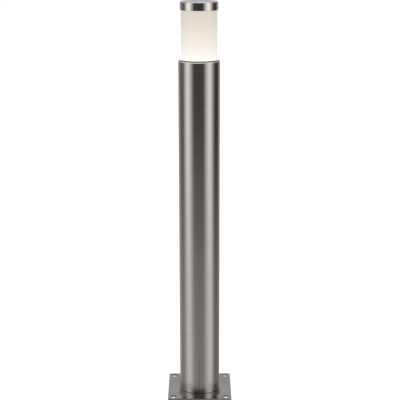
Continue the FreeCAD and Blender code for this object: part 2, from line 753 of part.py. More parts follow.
def level_screw(length, head_diameter, head_height, x, y, z):
    """An M3 screw along +X, with the underside of its head at a point."""
    return place(screw(3, length, head_diameter, head_height), x, y, z, axis=(0, 1, 0), turn=-90)


def make_terminals():
    """A three-pole block: insulating body, brass sleeves, and the screws that grip the leads and fix the block."""
    face = sizes["bracket_offset"]
    front = -2
    body_depth = face - front
    sleeve_outer, sleeve_bore, screw_radius = 3, 1.9, 1.5
    head_seat = 0.5
    width = sizes["pole_pitch"] * 3 + 1
    body = block(body_depth, width, terminal_height, face - body_depth / 2, 0, terminal_low)
    tools, sleeves, grips = [], [], []
    for y in terminal_y:
        tools.append(rod(sleeve_outer, terminal_height, terminal_x, y, terminal_low))
        sleeve = tube(sleeve_outer, sleeve_bore, terminal_height - 2, terminal_x, y, terminal_low + 1)
        ways = []
        for level in terminal_screw_levels:
            z = terminal_low + level
            tools.append(level_rod(2, terminal_x - front, front, y, z))
            ways.append(level_rod(screw_radius, sleeve_outer, terminal_x - sleeve_outer - 0.5, y, z))
            reach = as_size(terminal_x - head_seat) - lead_radius
            grips.append(level_screw(reach, 3.8, 1.5, head_seat, y, z))
        sleeves.append(cut(sleeve, *ways))
    fixings = []
    for y in fixing_places():
        middle = terminal_low + terminal_height / 2
        tools.append(level_rod(1.6, body_depth, front, y, middle))
        fixings.append(level_screw(body_depth + sizes["bracket_sheet"] + 2.5, 5.5, 2, front, y, middle))
    node("terminal_block", cut(body, *tools))
    node("terminal_sleeves", group(sleeves))
    node("terminal_screws", group(grips))
    node("terminal_fixings", group(fixings))


def make_cable_clamp():
    """The saddle that holds a supply cable against the foot of the bracket, with its two screws."""
    face, width, height, strap = sizes["bracket_offset"], sizes["bracket_width"] - 4, 8, 1.5
    low = clamp_level() - height / 2
    arch = rod(6, height, face, 0, low)
    feet = block(strap, width, height, face - strap / 2, 0, low)
    behind = block(16, width, height, face + 8, 0, low)
    saddle = cut(fuse(arch, feet), rod(4.5, height, face, 0, low), behind)
    holes = [level_rod(1.6, strap * 2, face - strap * 1.5, y, clamp_level()) for y in clamp_screw_places()]
    node("cable_clamp", cut(saddle, *holes))
    screws = [level_screw(strap + sizes["bracket_sheet"] + 3, 5.5, 2, face - strap, y, clamp_level())
              for y in clamp_screw_places()]
    node("cable_clamp_screws", group(screws))


def make_earth_point():
    """The earth screw, washer, nut and ring lug at one end of the bridge."""
    ring_sheet, washer, nut = 0.8, 0.8, 3.2
    ring = tube(4.2, 2.1, ring_sheet, earth_x, earth_y, bridge_under - ring_sheet)
    barrel_radius, barrel_length = 1.8, 9
    barrel = tube(barrel_radius, lead_radius, barrel_length, earth_x + 4, earth_y, bridge_under - barrel_radius,
                  axis=(0, 1, 0), turn=90)
    node("earth_lug", fuse(ring, barrel))
    under = bridge_under - ring_sheet
    node("earth_washer", tube(3.8, 2.1, washer, earth_x, earth_y, under - washer))
    node("earth_nut", hexagon(7, nut, 2, earth_x, earth_y, under - washer - nut))
    length = sizes["bridge_sheet"] + ring_sheet + washer + nut + 1.5
    node("earth_screw", place(screw(4, length, 7, 2.5), earth_x, earth_y, bridge_top))


def smooth_path(points):
    """Straight runs through the points, joined by arcs as large as the runs allow. Returns the wire and radii."""
    spots = [FreeCAD.Vector(*(number(c) for c in p)) for p in points]
    edges, radii = [], []
    start = spots[0]
    for before, corner, after in zip(spots, spots[1:], spots[2:]):
        incoming, outgoing = (corner - before).normalize(), (after - corner).normalize()
        half_turn = incoming.getAngle(outgoing) / 2
        reach = 0.45 * min((corner - before).Length, (after - corner).Length)
        enter, leave = corner - incoming * reach, corner + outgoing * reach
        radius = reach / math.tan(half_turn)
        centre = corner + (outgoing - incoming).normalize() * (radius / math.cos(half_turn))
        middle = centre + (corner - centre).normalize() * radius
        edges += [Part.LineSegment(start, enter).toShape(), Part.Arc(enter, middle, leave).toShape()]
        radii.append(radius)
        start = leave
    edges.append(Part.LineSegment(start, spots[-1]).toShape())
    return Part.Wire(edges), radii


def make_lead(label, points):
    """An insulated lead along a path."""
    path, radii = smooth_path(points)
    heading = path.Edges[0].tangentAt(path.Edges[0].FirstParameter)
    section = Part.Wire([Part.Circle(path.Edges[0].Vertexes[0].Point, heading, lead_radius.value).toShape()])
    item = doc.addObject("Part::Feature", label)
    item.Shape = path.makePipeShell([section], True, False)
    item.Placement = FreeCAD.Placement()
    expected = math.pi * lead_radius.value ** 2 * path.Length
    print(f"{label}: length {path.Length:.1f}, radii {[round(r, 1) for r in radii]}, "
          f"volume {item.Shape.Volume / expected:.3f} of section times length")
    node(label, item)


def make_leads():
    """Live and neutral run up the nipple into the lamp holder, and earth bends over to its lug."""
    grip = terminal_low + terminal_screw_levels[1] - 3
    leave = terminal_low + terminal_height + 4
    under_nipple = bridge_under - 13
    live_end = bridge_top + 6
    neutral_end = live_end + 2
    offset = sizes["lead_offset"]
    make_lead("lead_live", [
        (terminal_x, terminal_y[0], grip), (terminal_x, terminal_y[0], leave), (0, -offset, under_nipple),
        (0, -offset, live_end),
    ])
    make_lead("lead_neutral", [
        (terminal_x, terminal_y[1], grip), (terminal_x, terminal_y[1], leave), (0, offset, under_nipple),
        (0, offset, neutral_end),
    ])
    barrel_level = bridge_under - 1.8
    earth_bend, earth_rise = 9, 14.2
    make_lead("lead_earth", [
        (terminal_x, terminal_y[2], grip), (terminal_x, terminal_y[2], barrel_level - earth_rise),
        (terminal_x - earth_bend, earth_y, barrel_level), (earth_x + 7, earth_y, barrel_level),
    ])


# ---- build, check, write -----------------------------------------------------------------------------

for make in (
    make_base_plate, make_post_tube, make_base_weld, make_head_collar, make_tie_screws, make_bridge,
    make_lamp_holder_body, make_lamp_holder_shell, make_lamp_holder_contact, make_nipple, make_lamp,
    make_head_gasket, make_diffuser, make_cap, make_terminal_bracket, make_terminals, make_cable_clamp,
    make_earth_point, make_leads,
):
    make()
doc.recompute()

for item in doc.Objects:
    if "Invalid" in item.State or "Error" in item.State:
        raise RuntimeError(f"{item.Name} ({item.Label}) failed: {item.State}")
for item in nodes:
    if item.Shape.isNull() or not item.Shape.isValid():
        raise RuntimeError(f"{item.Label} has no valid shape")

os.makedirs("parts", exist_ok=True)
for item in nodes:
    item.Shape.exportStep(f"parts/{item.Label}.step")
    print(f"{item.Label}: {len(item.Shape.Solids)} solid(s), {item.Shape.Volume:.0f} mm3")
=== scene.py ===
"""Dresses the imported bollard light: a brushed post on its foot plate, a bayonet head with a lit opal
shade and a polished cap, and the lamp, holder and terminals inside. Lengths in the classes are in mm."""

import logging
import math
from dataclasses import dataclass, field
from enum import Enum, unique
from typing import Callable, Sequence

import bmesh
import bpy
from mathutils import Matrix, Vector


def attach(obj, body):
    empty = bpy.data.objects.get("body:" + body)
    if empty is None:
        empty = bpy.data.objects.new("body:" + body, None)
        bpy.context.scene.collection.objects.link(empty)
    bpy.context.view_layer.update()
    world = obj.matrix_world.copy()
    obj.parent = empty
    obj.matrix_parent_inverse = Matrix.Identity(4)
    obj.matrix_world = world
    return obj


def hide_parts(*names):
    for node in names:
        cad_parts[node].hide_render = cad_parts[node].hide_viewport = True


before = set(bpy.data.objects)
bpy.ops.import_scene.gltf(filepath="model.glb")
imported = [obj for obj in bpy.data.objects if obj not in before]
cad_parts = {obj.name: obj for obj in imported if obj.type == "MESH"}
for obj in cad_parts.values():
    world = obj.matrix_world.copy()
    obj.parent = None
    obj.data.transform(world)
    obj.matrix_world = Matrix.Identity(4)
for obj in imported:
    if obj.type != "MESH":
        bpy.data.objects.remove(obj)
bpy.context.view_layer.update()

MM = 0.001
TURN = 2 * math.pi
# An edge beyond SHARP stays sharp, and points nearer than DOUBLED, in metres, are merged.
SHARP = math.radians(32)
DOUBLED = 1e-6
# The segments of a rounded corner, the radius of the circle that profiles are swept along, and how near
# to the axis a closed end comes.
ROUND_STEPS = 6
LATHE_PATH = 10.0
AXIS_GAP = 0.01
log = logging.getLogger("bollard")

Point = tuple[float, float]
Colour = tuple[float, float, float]


class Body(Enum):
    """The bodies of the light that move apart."""

    POST = "post"
    SEAL = "head_seal"
    HEAD = "head"
    LAMP = "lamp"


class Grain(Enum):
    """Which way a brushed face is worked, as the stretch of its streaks along X, Y and Z."""

    ROUND_THE_POST = (0.06, 0.06, 1.0)
    ALONG_X = (0.03, 1.0, 1.0)
    ALONG_Z = (1.0, 1.0, 0.05)


# ---- finishes ----------------------------------------------------------------------------------------


class Nodes:
    """A node tree, and short calls to add to it. The prefix starts its nodes' type names."""

    prefix = "ShaderNode"

    def __init__(self, tree: bpy.types.NodeTree) -> None:
        """Takes over a tree and empties it."""
        self.tree = tree
        tree.nodes.clear()

    def add(self, kind: str, **settings: object) -> bpy.types.Node:
        """Adds a node and sets its properties.

        Args:
            kind: The node's type name, which may leave out the tree's own prefix.
            **settings: The properties to set.

        Returns:
            The new node.
        """
        node = self.tree.nodes.new(kind if "Node" in kind else self.prefix + kind)
        for key, value in settings.items():
            setattr(node, key, value)
        return node

    def join(self, start: bpy.types.NodeSocket, end: bpy.types.NodeSocket) -> None:
        """Links two sockets."""
        self.tree.links.new(start, end)

    def feed(self, node: bpy.types.Node, **links: object) -> bpy.types.Node:
        """Links sockets or sets values on a node's inputs, with _ standing for a space.

        Args:
            node: The node.
            **links: For each input, a socket to link or a value to set.

        Returns:
            The same node.
        """
        for key, value in links.items():
            socket = node.inputs[key.replace("_", " ")]
            if isinstance(value, bpy.types.NodeSocket):
                self.join(value, socket)
            else:
                socket.default_value = (*value, 1.0) if socket.type == "RGBA" else value
        return node

    def seen_directly(self) -> bpy.types.NodeSocket:
        """Gives 1 for camera, glossy and transmission rays, and 0 for the rest.

        Returns:
            The socket.
        """
        path = self.add("LightPath")
        seen = path.outputs["Is Camera Ray"]
        for ray in ("Is Glossy Ray", "Is Transmission Ray"):
            either = self.add("Math", operation="MAXIMUM")
            self.join(seen, either.inputs[0])
            self.join(path.outputs[ray], either.inputs[1])
            seen = either.outputs[0]
        return seen


class Shader(Nodes):
    """A node material with one Principled shader."""

    def __init__(self, name: str) -> None:
        """Starts the material.

        Args:
            name: The name of the material.
        """
        self.material = bpy.data.materials.new(name)
        self.material.use_nodes = True
        super().__init__(self.material.node_tree)
        self.output = self.add("OutputMaterial")
        self.surface = self.add("BsdfPrincipled")
        self.join(self.surface.outputs[0], self.output.inputs["Surface"])

    def set(self, **links: object) -> None:
        """Links or sets the Principled shader's own inputs, with _ standing for a space."""
        self.feed(self.surface, **links)

    def place(self, stretch: Sequence[float] = (1, 1, 1)) -> bpy.types.NodeSocket:
        """Gives the object's own coordinates, stretched.

        Args:
            stretch: The scale along X, Y and Z.

        Returns:
            The socket with the coordinates.
        """
        coordinates = self.add("TexCoord").outputs["Object"]
        return self.feed(self.add("Mapping"), Vector=coordinates, Scale=stretch).outputs["Vector"]

    def noise(self, stretch: Sequence[float], detail: float = 2.0,
              roughness: float = 0.5) -> bpy.types.NodeSocket:
        """Adds a noise over the object's own coordinates.

        Args:
            stretch: The number of waves per metre along X, Y and Z.
            detail: How many finer layers it has.
            roughness: The weight of the finer layers.

        Returns:
            The socket with its value from 0 to 1.
        """
        node = self.feed(self.add("TexNoise"), Vector=self.place(stretch), Scale=1.0, Detail=detail,
                         Roughness=roughness)
        return node.outputs["Fac"]

    def ranged(self, value: bpy.types.NodeSocket, low: float, high: float, start: float = 0.3,
               end: float = 0.7) -> bpy.types.NodeSocket:
        """Maps a value to a range, a noise around its middle where no other ends are given.

        Args:
            value: The socket with the value.
            low: The result at the start.
            high: The result at the end.
            start: The value where the range starts.
            end: The value where it ends.

        Returns:
            The mapped socket.
        """
        node = self.feed(self.add("MapRange"), Value=value, From_Min=start, From_Max=end, To_Min=low,
                         To_Max=high)
        return node.outputs["Result"]

    def ramp(self, value: bpy.types.NodeSocket,
             stops: Sequence[tuple[float, Colour]]) -> bpy.types.NodeSocket:
        """Runs from colour to colour as a value rises.

        Args:
            value: The socket with the value.
            stops: The colours, each with the value where it is reached.

        Returns:
            The socket with the colour.
        """
        node = self.feed(self.add("ValToRGB"), Fac=value)
        marks = node.color_ramp.elements
        while len(marks) < len(stops):
            marks.new(0.5)
        for mark, (position, _) in zip(marks, stops):
            mark.position = position
        for mark, (_, colour) in zip(marks, stops):
            mark.color = (*colour, 1)
        return node.outputs["Color"]

    def tint(self, value: bpy.types.NodeSocket, dark: Colour, light: Colour) -> None:
        """Lets a noise run the base colour from one shade to another."""
        self.set(Base_Color=self.ramp(value, ((0.3, dark), (0.7, light))))

    def bump(self, value: bpy.types.NodeSocket, depth: float) -> None:
        """Lets a value raise and lower the surface.

        Args:
            value: The socket with the height from 0 to 1.
            depth: The full height in millimetres.
        """
        node = self.feed(self.add("Bump"), Height=value, Strength=1.0, Distance=depth * MM)
        self.set(Normal=node.outputs["Normal"])


def linear_colour(*display: float) -> Colour:
    """Turns a display colour into linear light.

    Args:
        *display: The red, green and blue channels from 0 to 255.

    Returns:
        The linear colour.
    """
    shares = [value / 255 for value in display]
    return tuple(share / 12.92 if share <= 0.04045 else ((share + 0.055) / 1.055) ** 2.4 for share in shares)


def shade(colour: Colour, factor: float) -> Colour:
    """Scales a colour."""
    return tuple(channel * factor for channel in colour)


class Coating:
    """What every kind of finish shares: it is painted on a new material."""

    def paint(self, shader: Shader) -> None:
        """Sets up the shader.

        Args:
            shader: The shader of the new material.
        """
        raise NotImplementedError

    def build(self, name: str) -> bpy.types.Material:
        """Makes the material.

        Args:
            name: The name of the material.

        Returns:
            The material.
        """
        shader = Shader(name)
        self.paint(shader)
        return shader.material


@dataclass(frozen=True)
class BrushedSteel(Coating):
    """Steel that a belt has brushed, with fine streaks and a stretched highlight."""

    colour: Colour
    roughness: float
    grain: Grain
    anisotropy: float = 0.6
    streaks: float = 5200.0
    depth: float = 0.004
    variation: float = 0.06

    def paint(self, shader: Shader) -> None:
        """Sets up the shader.

        Args:
            shader: The shader of the new material.
        """
        axis = "Y" if self.grain is Grain.ALONG_X else "Z"
        tangent = shader.add("Tangent", direction_type="RADIAL", axis=axis)
        stretch = [self.streaks * share for share in self.grain.value]
        fine = shader.noise(stretch, detail=3.0, roughness=0.6)
        broad = shader.noise([share / 40 for share in stretch])
        shader.set(Metallic=1.0, IOR=2.4, Anisotropic=self.anisotropy, Anisotropic_Rotation=0.25,
                   Tangent=tangent.outputs[0],
                   Roughness=shader.ranged(fine, self.roughness * 0.88, self.roughness * 1.12))
        shader.tint(broad, shade(self.colour, 1 - self.variation), shade(self.colour, 1 + self.variation))
        shader.bump(fine, self.depth)


@dataclass(frozen=True)
class PolishedMetal(Coating):
    """Smooth metal with faint polishing haze."""

    colour: Colour
    roughness: float
    haze: float = 0.25

    def paint(self, shader: Shader) -> None:
        """Sets up the shader.

        Args:
            shader: The shader of the new material.
        """
        wipe = shader.noise((90, 90, 60), detail=3.0)
        shader.set(Metallic=1.0, Roughness=shader.ranged(wipe, self.roughness * (1 - self.haze),
                                                         self.roughness * (1 + self.haze)))
        shader.tint(shader.noise((35, 35, 35)), shade(self.colour, 0.98), shade(self.colour, 1.02))


@dataclass(frozen=True)
class MouldedPlastic(Coating):
    """Moulded plastic, rubber, lacquer or glaze: a fine skin over an even colour."""

    colour: Colour
    roughness: float
    skin: float = 0.01
    skin_pitch: float = 1.2
    coat: float = 0.0

    def paint(self, shader: Shader) -> None:
        """Sets up the shader.

        Args:
            shader: The shader of the new material.
        """
        skin = shader.noise([1000 / self.skin_pitch] * 3)
        shader.set(Metallic=0.0, IOR=1.49, Coat_Weight=self.coat, Coat_Roughness=0.06,
                   Roughness=shader.ranged(skin, self.roughness * 0.9, self.roughness * 1.1))
        shader.tint(shader.noise((40, 40, 40)), shade(self.colour, 0.95), shade(self.colour, 1.04))
        shader.bump(skin, self.skin)


@dataclass(frozen=True)
class SleevedLead(Coating):
    """Silicone insulation, with a second colour wound round it where it has one."""

    colour: Colour
    stripe: Colour | None = None

    def paint(self, shader: Shader) -> None:
        """Sets up the shader.

        Args:
            shader: The shader of the new material.
        """
        shader.set(Metallic=0.0, Roughness=0.42, IOR=1.42)
        if self.stripe:
            wave = shader.add("TexWave", wave_type="BANDS", bands_direction="DIAGONAL")
            shader.feed(wave, Vector=shader.place(), Scale=90.0, Distortion=0.4)
            shader.tint(wave.outputs["Fac"], self.colour, self.stripe)
        else:
            shader.tint(shader.noise((300, 300, 300)), shade(self.colour, 0.92), shade(self.colour, 1.06))
        shader.bump(shader.noise((1500, 1500, 1500)), 0.01)


@dataclass(frozen=True)
class LitOpal(Coating):
    """Opal plastic or glass that a lamp lights from inside: its glow changes with height."""

    body: Colour
    low: float
    high: float
    stops: tuple[tuple[float, Colour], ...]
    strength: float = 1.0

    def paint(self, shader: Shader) -> None:
        """Sets up the shader.

        Args:
            shader: The shader of the new material.
        """
        height = shader.feed(shader.add("SeparateXYZ"), Vector=shader.place()).outputs["Z"]
        climb = shader.ranged(height, 0.0, 1.0, self.low * MM, self.high * MM)
        shader.set(Metallic=0.0, Roughness=0.6, IOR=1.5, Coat_Weight=0.6, Coat_Roughness=0.5,
                   Specular_IOR_Level=0.2, Emission_Strength=self.strength,
                   Emission_Color=shader.ramp(climb, self.stops))
        shader.tint(shader.noise((30, 30, 30), detail=1.0), shade(self.body, 0.99), shade(self.body, 1.01))
        shader.bump(shader.noise((700, 700, 700)), 0.002)


SHADE_GLOW = (
    (0.00, linear_colour(254, 254, 248)),
    (0.05, linear_colour(254, 253, 247)),
    (0.14, linear_colour(252, 248, 239)),
    (0.26, linear_colour(248, 238, 228)),
    (0.37, linear_colour(241, 230, 219)),
    (0.48, linear_colour(236, 226, 214)),
    (0.60, linear_colour(225, 216, 204)),
    (0.82, linear_colour(218, 204, 191)),
    (0.94, linear_colour(218, 198, 187)),
    (1.00, linear_colour(218, 201, 190)),
)
LAMP_GLOW = ((0.0, (1.0, 0.86, 0.66)), (1.0, (1.0, 0.93, 0.80)))


@unique
class Finish(Enum):
    """Every finish of the light, under the record's slot, and the near-black finish of cut faces: partly the
    darker cut steel, mostly painted shade.
    """

    post_steel = BrushedSteel((0.60, 0.585, 0.57), 0.22, Grain.ROUND_THE_POST, 0.9, variation=0.015)
    plate_steel = BrushedSteel((0.51, 0.49, 0.47), 0.15, Grain.ALONG_X, 0.3)
    # Near-black steel: partly the darker cut steel, mostly painted shade on the plate's sides and hole walls
    # and in the relief at the post's foot.
    cut_edge = BrushedSteel((0.06, 0.058, 0.056), 0.45, Grain.ALONG_X, 0.0, 1500, 0.01, 0.12)
    weld_steel = BrushedSteel((0.42, 0.41, 0.40), 0.5, Grain.ROUND_THE_POST, 0.0, 900, 0.03)
    collar_metal = BrushedSteel((0.78, 0.78, 0.77), 0.24, Grain.ROUND_THE_POST, 0.5)
    bridge_steel = BrushedSteel((0.64, 0.65, 0.66), 0.38, Grain.ALONG_Z, 0.0, 700, 0.004, 0.12)
    screw_steel = PolishedMetal((0.62, 0.61, 0.60), 0.24)
    ceramic = MouldedPlastic((0.86, 0.85, 0.81), 0.35, 0.004, 2.0, 0.8)
    brass = PolishedMetal((0.82, 0.62, 0.30), 0.22)
    nickel = PolishedMetal((0.72, 0.70, 0.65), 0.2)
    lamp_white = MouldedPlastic((0.86, 0.86, 0.84), 0.45)
    lamp_black = MouldedPlastic((0.02, 0.02, 0.024), 0.15, 0.002, 2.0, 0.5)
    lamp_opal = LitOpal((0.80, 0.78, 0.74), 690, 735, LAMP_GLOW, 1.3)
    board_white = MouldedPlastic((0.85, 0.87, 0.86), 0.3, 0.002, 1.0, 0.4)
    chip_yellow = MouldedPlastic((0.85, 0.62, 0.12), 0.25, 0.002, 0.5, 0.4)
    gasket_rubber = MouldedPlastic((0.02, 0.02, 0.021), 0.6, 0.02, 0.9)
    diffuser_opal = LitOpal((0.30, 0.29, 0.275), 688, 797.3, SHADE_GLOW, 0.80)
    cap_polished = PolishedMetal((0.76, 0.75, 0.74), 0.10)
    terminal_plastic = MouldedPlastic((0.80, 0.79, 0.72), 0.42)
    clamp_plastic = MouldedPlastic((0.025, 0.025, 0.028), 0.5)
    lead_brown = SleevedLead((0.16, 0.055, 0.018))
    lead_blue = SleevedLead((0.02, 0.10, 0.42))
    lead_green = SleevedLead((0.07, 0.30, 0.05), (0.80, 0.66, 0.05))


# ---- outlines ----------------------------------------------------------------------------------------


@dataclass(frozen=True)
class Corner:
    """A corner of a turned profile: its radius from the axis, its level and its rounding."""

    r: float
    z: float
    round: float = 0.0


def arc(x: float, y: float, radius: float, start: float, sweep: float, steps: int) -> list[Point]:
    """Gives the points of an arc with both its ends.

    Args:
        x: The middle's first coordinate.
        y: The middle's second coordinate.
        radius: The radius.
        start: The angle of the first point.
        sweep: The angle from the first point to the last.
        steps: The number of segments.

    Returns:
        The points.
    """
    angles = [start + sweep * step / steps for step in range(steps + 1)]
    return [(x + radius * math.cos(angle), y + radius * math.sin(angle)) for angle in angles]


def rounded(corners: Sequence[Corner]) -> list[Point]:
    """Rounds the corners of a closed profile.

    Args:
        corners: The corners in order.

    Returns:
        The points of the profile.
    """
    points: list[Point] = []
    spots = [Vector((corner.r, corner.z)) for corner in corners]
    for index, (corner, here) in enumerate(zip(corners, spots)):
        if corner.round <= 0:
            points.append((here.x, here.y))
            continue
        back = (spots[index - 1] - here).normalized()
        on = (spots[(index + 1) % len(spots)] - here).normalized()
        half = back.angle(on) / 2
        reach = corner.round / math.tan(half)
        centre = here + (back + on).normalized() * (corner.round / math.sin(half))
        start, end = here + back * reach - centre, here + on * reach - centre
        points += arc(centre.x, centre.y, corner.round, math.atan2(start.y, start.x),
                      -start.angle_signed(end), ROUND_STEPS)
    return points


def ring_loop(radius: float, z: float, count: int, sides: int = 0) -> list[Vector]:
    """Gives a level loop of points, round or with flat sides.

    Args:
        radius: The radius, or half the width across the flats.
        z: The level.
        count: The number of points.
        sides: The number of flats, or 0 for a circle.

    Returns:
        The points.
    """
    loop = []
    for index in range(count):
        angle = TURN * index / count
        reach = radius / math.cos(angle % (TURN / sides) - math.pi / sides) if sides else radius
        loop.append(Vector((reach * math.cos(angle), reach * math.sin(angle), z)))
    return loop


# ---- mesh makers -------------------------------------------------------------------------------------


def linked(name: str, data: bpy.types.ID) -> bpy.types.Object:
    """Makes an object of its data and links it to the scene.

    Args:
        name: The name of the object.
        data: The mesh, curve or camera.

    Returns:
        The object.
    """
    item = bpy.data.objects.new(name, data)
    bpy.context.scene.collection.objects.link(item)
    return item


def settled(item: bpy.types.Object) -> bpy.types.Mesh:
    """Turns an object with its modifiers into a plain mesh.

    Args:
        item: The object, which is used up.

    Returns:
        The mesh.
    """
    mesh = bpy.data.meshes.new_from_object(item.evaluated_get(bpy.context.evaluated_depsgraph_get()))
    bpy.data.objects.remove(item)
    return mesh


def cleaned(mesh: bpy.types.Mesh) -> bpy.types.Mesh:
    """Merges a mesh's doubled points and turns its faces outward.

    Args:
        mesh: The mesh.

    Returns:
        The same mesh.
    """
    work = bmesh.new()
    work.from_mesh(mesh)
    bmesh.ops.remove_doubles(work, verts=work.verts, dist=DOUBLED)
    bmesh.ops.recalc_face_normals(work, faces=work.faces)
    work.to_mesh(mesh)
    work.free()
    return mesh


def loft(loops: Sequence[Sequence[Vector]], hoop: bool = False) -> bpy.types.Mesh:
    """Joins loops of equally many points into a skin.

    Args:
        loops: The loops in order, in millimetres.
        hoop: Whether the last loop joins the first, instead of both being filled.

    Returns:
        The mesh in metres.
    """
    mesh = bpy.data.meshes.new("loft")
    rows, count = len(loops), len(loops[0])
    points = [tuple(point * MM) for loop in loops for point in loop]
    faces: list[tuple[int, ...]] = []
    for row in range(rows if hoop else rows - 1):
        here, above = row * count, (row + 1) % rows * count
        for column in range(count):
            after = (column + 1) % count
            faces.append((here + column, here + after, above + after, above + column))
    if not hoop:
        faces.append(tuple(range(count - 1, -1, -1)))
        faces.append(tuple(range((rows - 1) * count, rows * count)))
    mesh.from_pydata(points, [], faces)
    return mesh


def stacked(rings: Sequence[tuple[float, ...]], count: int, hoop: bool = False) -> bpy.types.Mesh:
    """Skins level rings round the upright axis.

    Args:
        rings: Each ring's radius and level, and the number of its flats where it has some.
        count: The number of points of each ring.
        hoop: Whether the last ring joins the first, instead of both being filled.

    Returns:
        The mesh.
    """
    return loft([ring_loop(radius, z, count, *sides) for radius, z, *sides in rings], hoop)


def merged(meshes: Sequence[bpy.types.Mesh]) -> bpy.types.Mesh:
    """Joins meshes into one.

    Args:
        meshes: The meshes, which are used up.

    Returns:
        The joined mesh.
    """
    work = bmesh.new()
    for mesh in meshes:
        work.from_mesh(mesh)
        bpy.data.meshes.remove(mesh)
    result = bpy.data.meshes.new("merged")
    work.to_mesh(result)
    work.free()
    return result


def cut_away(body: bpy.types.Mesh, cutter: bpy.types.Mesh) -> bpy.types.Mesh:
    """Cuts one closed mesh from another.

    Args:
        body: The mesh that is kept.
        cutter: The mesh that is taken away.

    Returns:
        The cut mesh.
    """
    main, tool = linked("cut", cleaned(body)), linked("tool", cleaned(cutter))
    modifier = main.modifiers.new("cut", "BOOLEAN")
    modifier.operation, modifier.solver, modifier.object = "DIFFERENCE", "EXACT", tool
    result = settled(main)
    bpy.data.objects.remove(tool)
    return result


def moved(mesh: bpy.types.Mesh, change: Callable[[Vector], Vector]) -> bpy.types.Mesh:
    """Moves each point of a mesh.

    Args:
        mesh: The mesh, in metres.
        change: Gives a point's new place, in millimetres, from its old one.

    Returns:
        The same mesh.
    """
    for vertex in mesh.vertices:
        vertex.co = change(vertex.co / MM) * MM
    return mesh


def shifted(x: float, y: float, z: float) -> Callable[[Vector], Vector]:
    """Gives the change that moves each point by the same way."""
    return lambda point: point + Vector((x, y, z))


def laid(x: float, y: float, z: float) -> Callable[[Vector], Vector]:
    """Gives the change that lays an upright screw along X at a spot, with its head towards -X."""
    return lambda point: Vector((x - point.z, y + point.y, z + point.x))


# ---- node trees --------------------------------------------------------------------------------------


class GeometryTree(Nodes):
    """A Geometry Nodes tree with named inputs, which ends in real geometry with a material."""

    prefix = "GeometryNode"

    def __init__(self, name: str, **inputs: str) -> None:
        """Starts the tree.

        Args:
            name: The name of the tree.
            **inputs: Each input's kind of socket, such as Float.
        """
        super().__init__(bpy.data.node_groups.new(name, "GeometryNodeTree"))
        face = self.tree.interface
        face.new_socket(name="Geometry", in_out="INPUT", socket_type="NodeSocketGeometry")
        self.sockets = {key: face.new_socket(name=key, in_out="INPUT", socket_type="NodeSocket" + kind)
                        for key, kind in {**inputs, "Finish": "Material"}.items()}
        face.new_socket(name="Geometry", in_out="OUTPUT", socket_type="NodeSocketGeometry")
        self.given = self.add("NodeGroupInput").outputs

    def finish(self, geometry: bpy.types.NodeSocket) -> None:
        """Makes instances real, sets the material and ends the tree.

        Args:
            geometry: The socket with the geometry.
        """
        real = self.feed(self.add("RealizeInstances"), Geometry=geometry)
        dressed = self.feed(self.add("SetMaterial"), Geometry=real.outputs[0], Material=self.given["Finish"])
        self.feed(self.add("NodeGroupOutput"), Geometry=dressed.outputs[0])

    def grow(self, base: bpy.types.Mesh, finish: bpy.types.Material, **values: object) -> bpy.types.Mesh:
        """Runs the tree on a mesh and keeps the result as a plain mesh.

        Args:
            base: The mesh that the tree starts from.
            finish: The material.
            **values: The tree's inputs.

        Returns:
            The new mesh.
        """
        seed = linked("seed", base)
        modifier = seed.modifiers.new("grow", "NODES")
        modifier.node_group = self.tree
        for key, value in {**values, "Finish": finish}.items():
            modifier[self.sockets[key].identifier] = value
        return settled(seed)


def lathe_tree() -> GeometryTree:
    """Makes the tree that turns a profile round the upright axis.

    Returns:
        The tree, with Steps and Path as inputs.
    """
    tree = GeometryTree("turned_form", Steps="Int", Path="Float")
    profile = tree.feed(tree.add("MeshToCurve"), Mesh=tree.given["Geometry"])
    circle = tree.feed(tree.add("CurvePrimitiveCircle"), Resolution=tree.given["Steps"],
                       Radius=tree.given["Path"])
    upright = tree.feed(tree.add("SetCurveNormal", mode="Z_UP"), Curve=circle.outputs[0])
    swept = tree.feed(tree.add("CurveToMesh"), Curve=upright.outputs[0], Profile_Curve=profile.outputs[0])
    tree.finish(swept.outputs[0])
    return tree


def pattern_tree() -> GeometryTree:
    """Makes the tree that repeats a mesh, each copy turned about the upright axis and shifted.

    Returns:
        The tree, with Count, Start, Step and Shift as inputs.
    """
    tree = GeometryTree("repeated_form", Count="Int", Start="Float", Step="Float", Shift="Vector")
    index = tree.add("InputIndex").outputs[0]
    shift = tree.feed(tree.add("ShaderNodeVectorMath", operation="SCALE"), Vector=tree.given["Shift"],
                      Scale=index)
    points = tree.feed(tree.add("Points"), Count=tree.given["Count"], Position=shift.outputs[0])
    angle = tree.add("ShaderNodeMath", operation="MULTIPLY_ADD")
    for socket, source in zip(angle.inputs, (index, tree.given["Step"], tree.given["Start"])):
        tree.join(source, socket)
    turned = tree.feed(tree.add("ShaderNodeCombineXYZ"), Z=angle.outputs[0])
    turn = tree.feed(tree.add("FunctionNodeEulerToRotation"), Euler=turned.outputs[0])
    copies = tree.feed(tree.add("InstanceOnPoints"), Points=points.outputs[0],
                       Instance=tree.given["Geometry"], Rotation=turn.outputs[0])
    tree.finish(copies.outputs[0])
    return tree


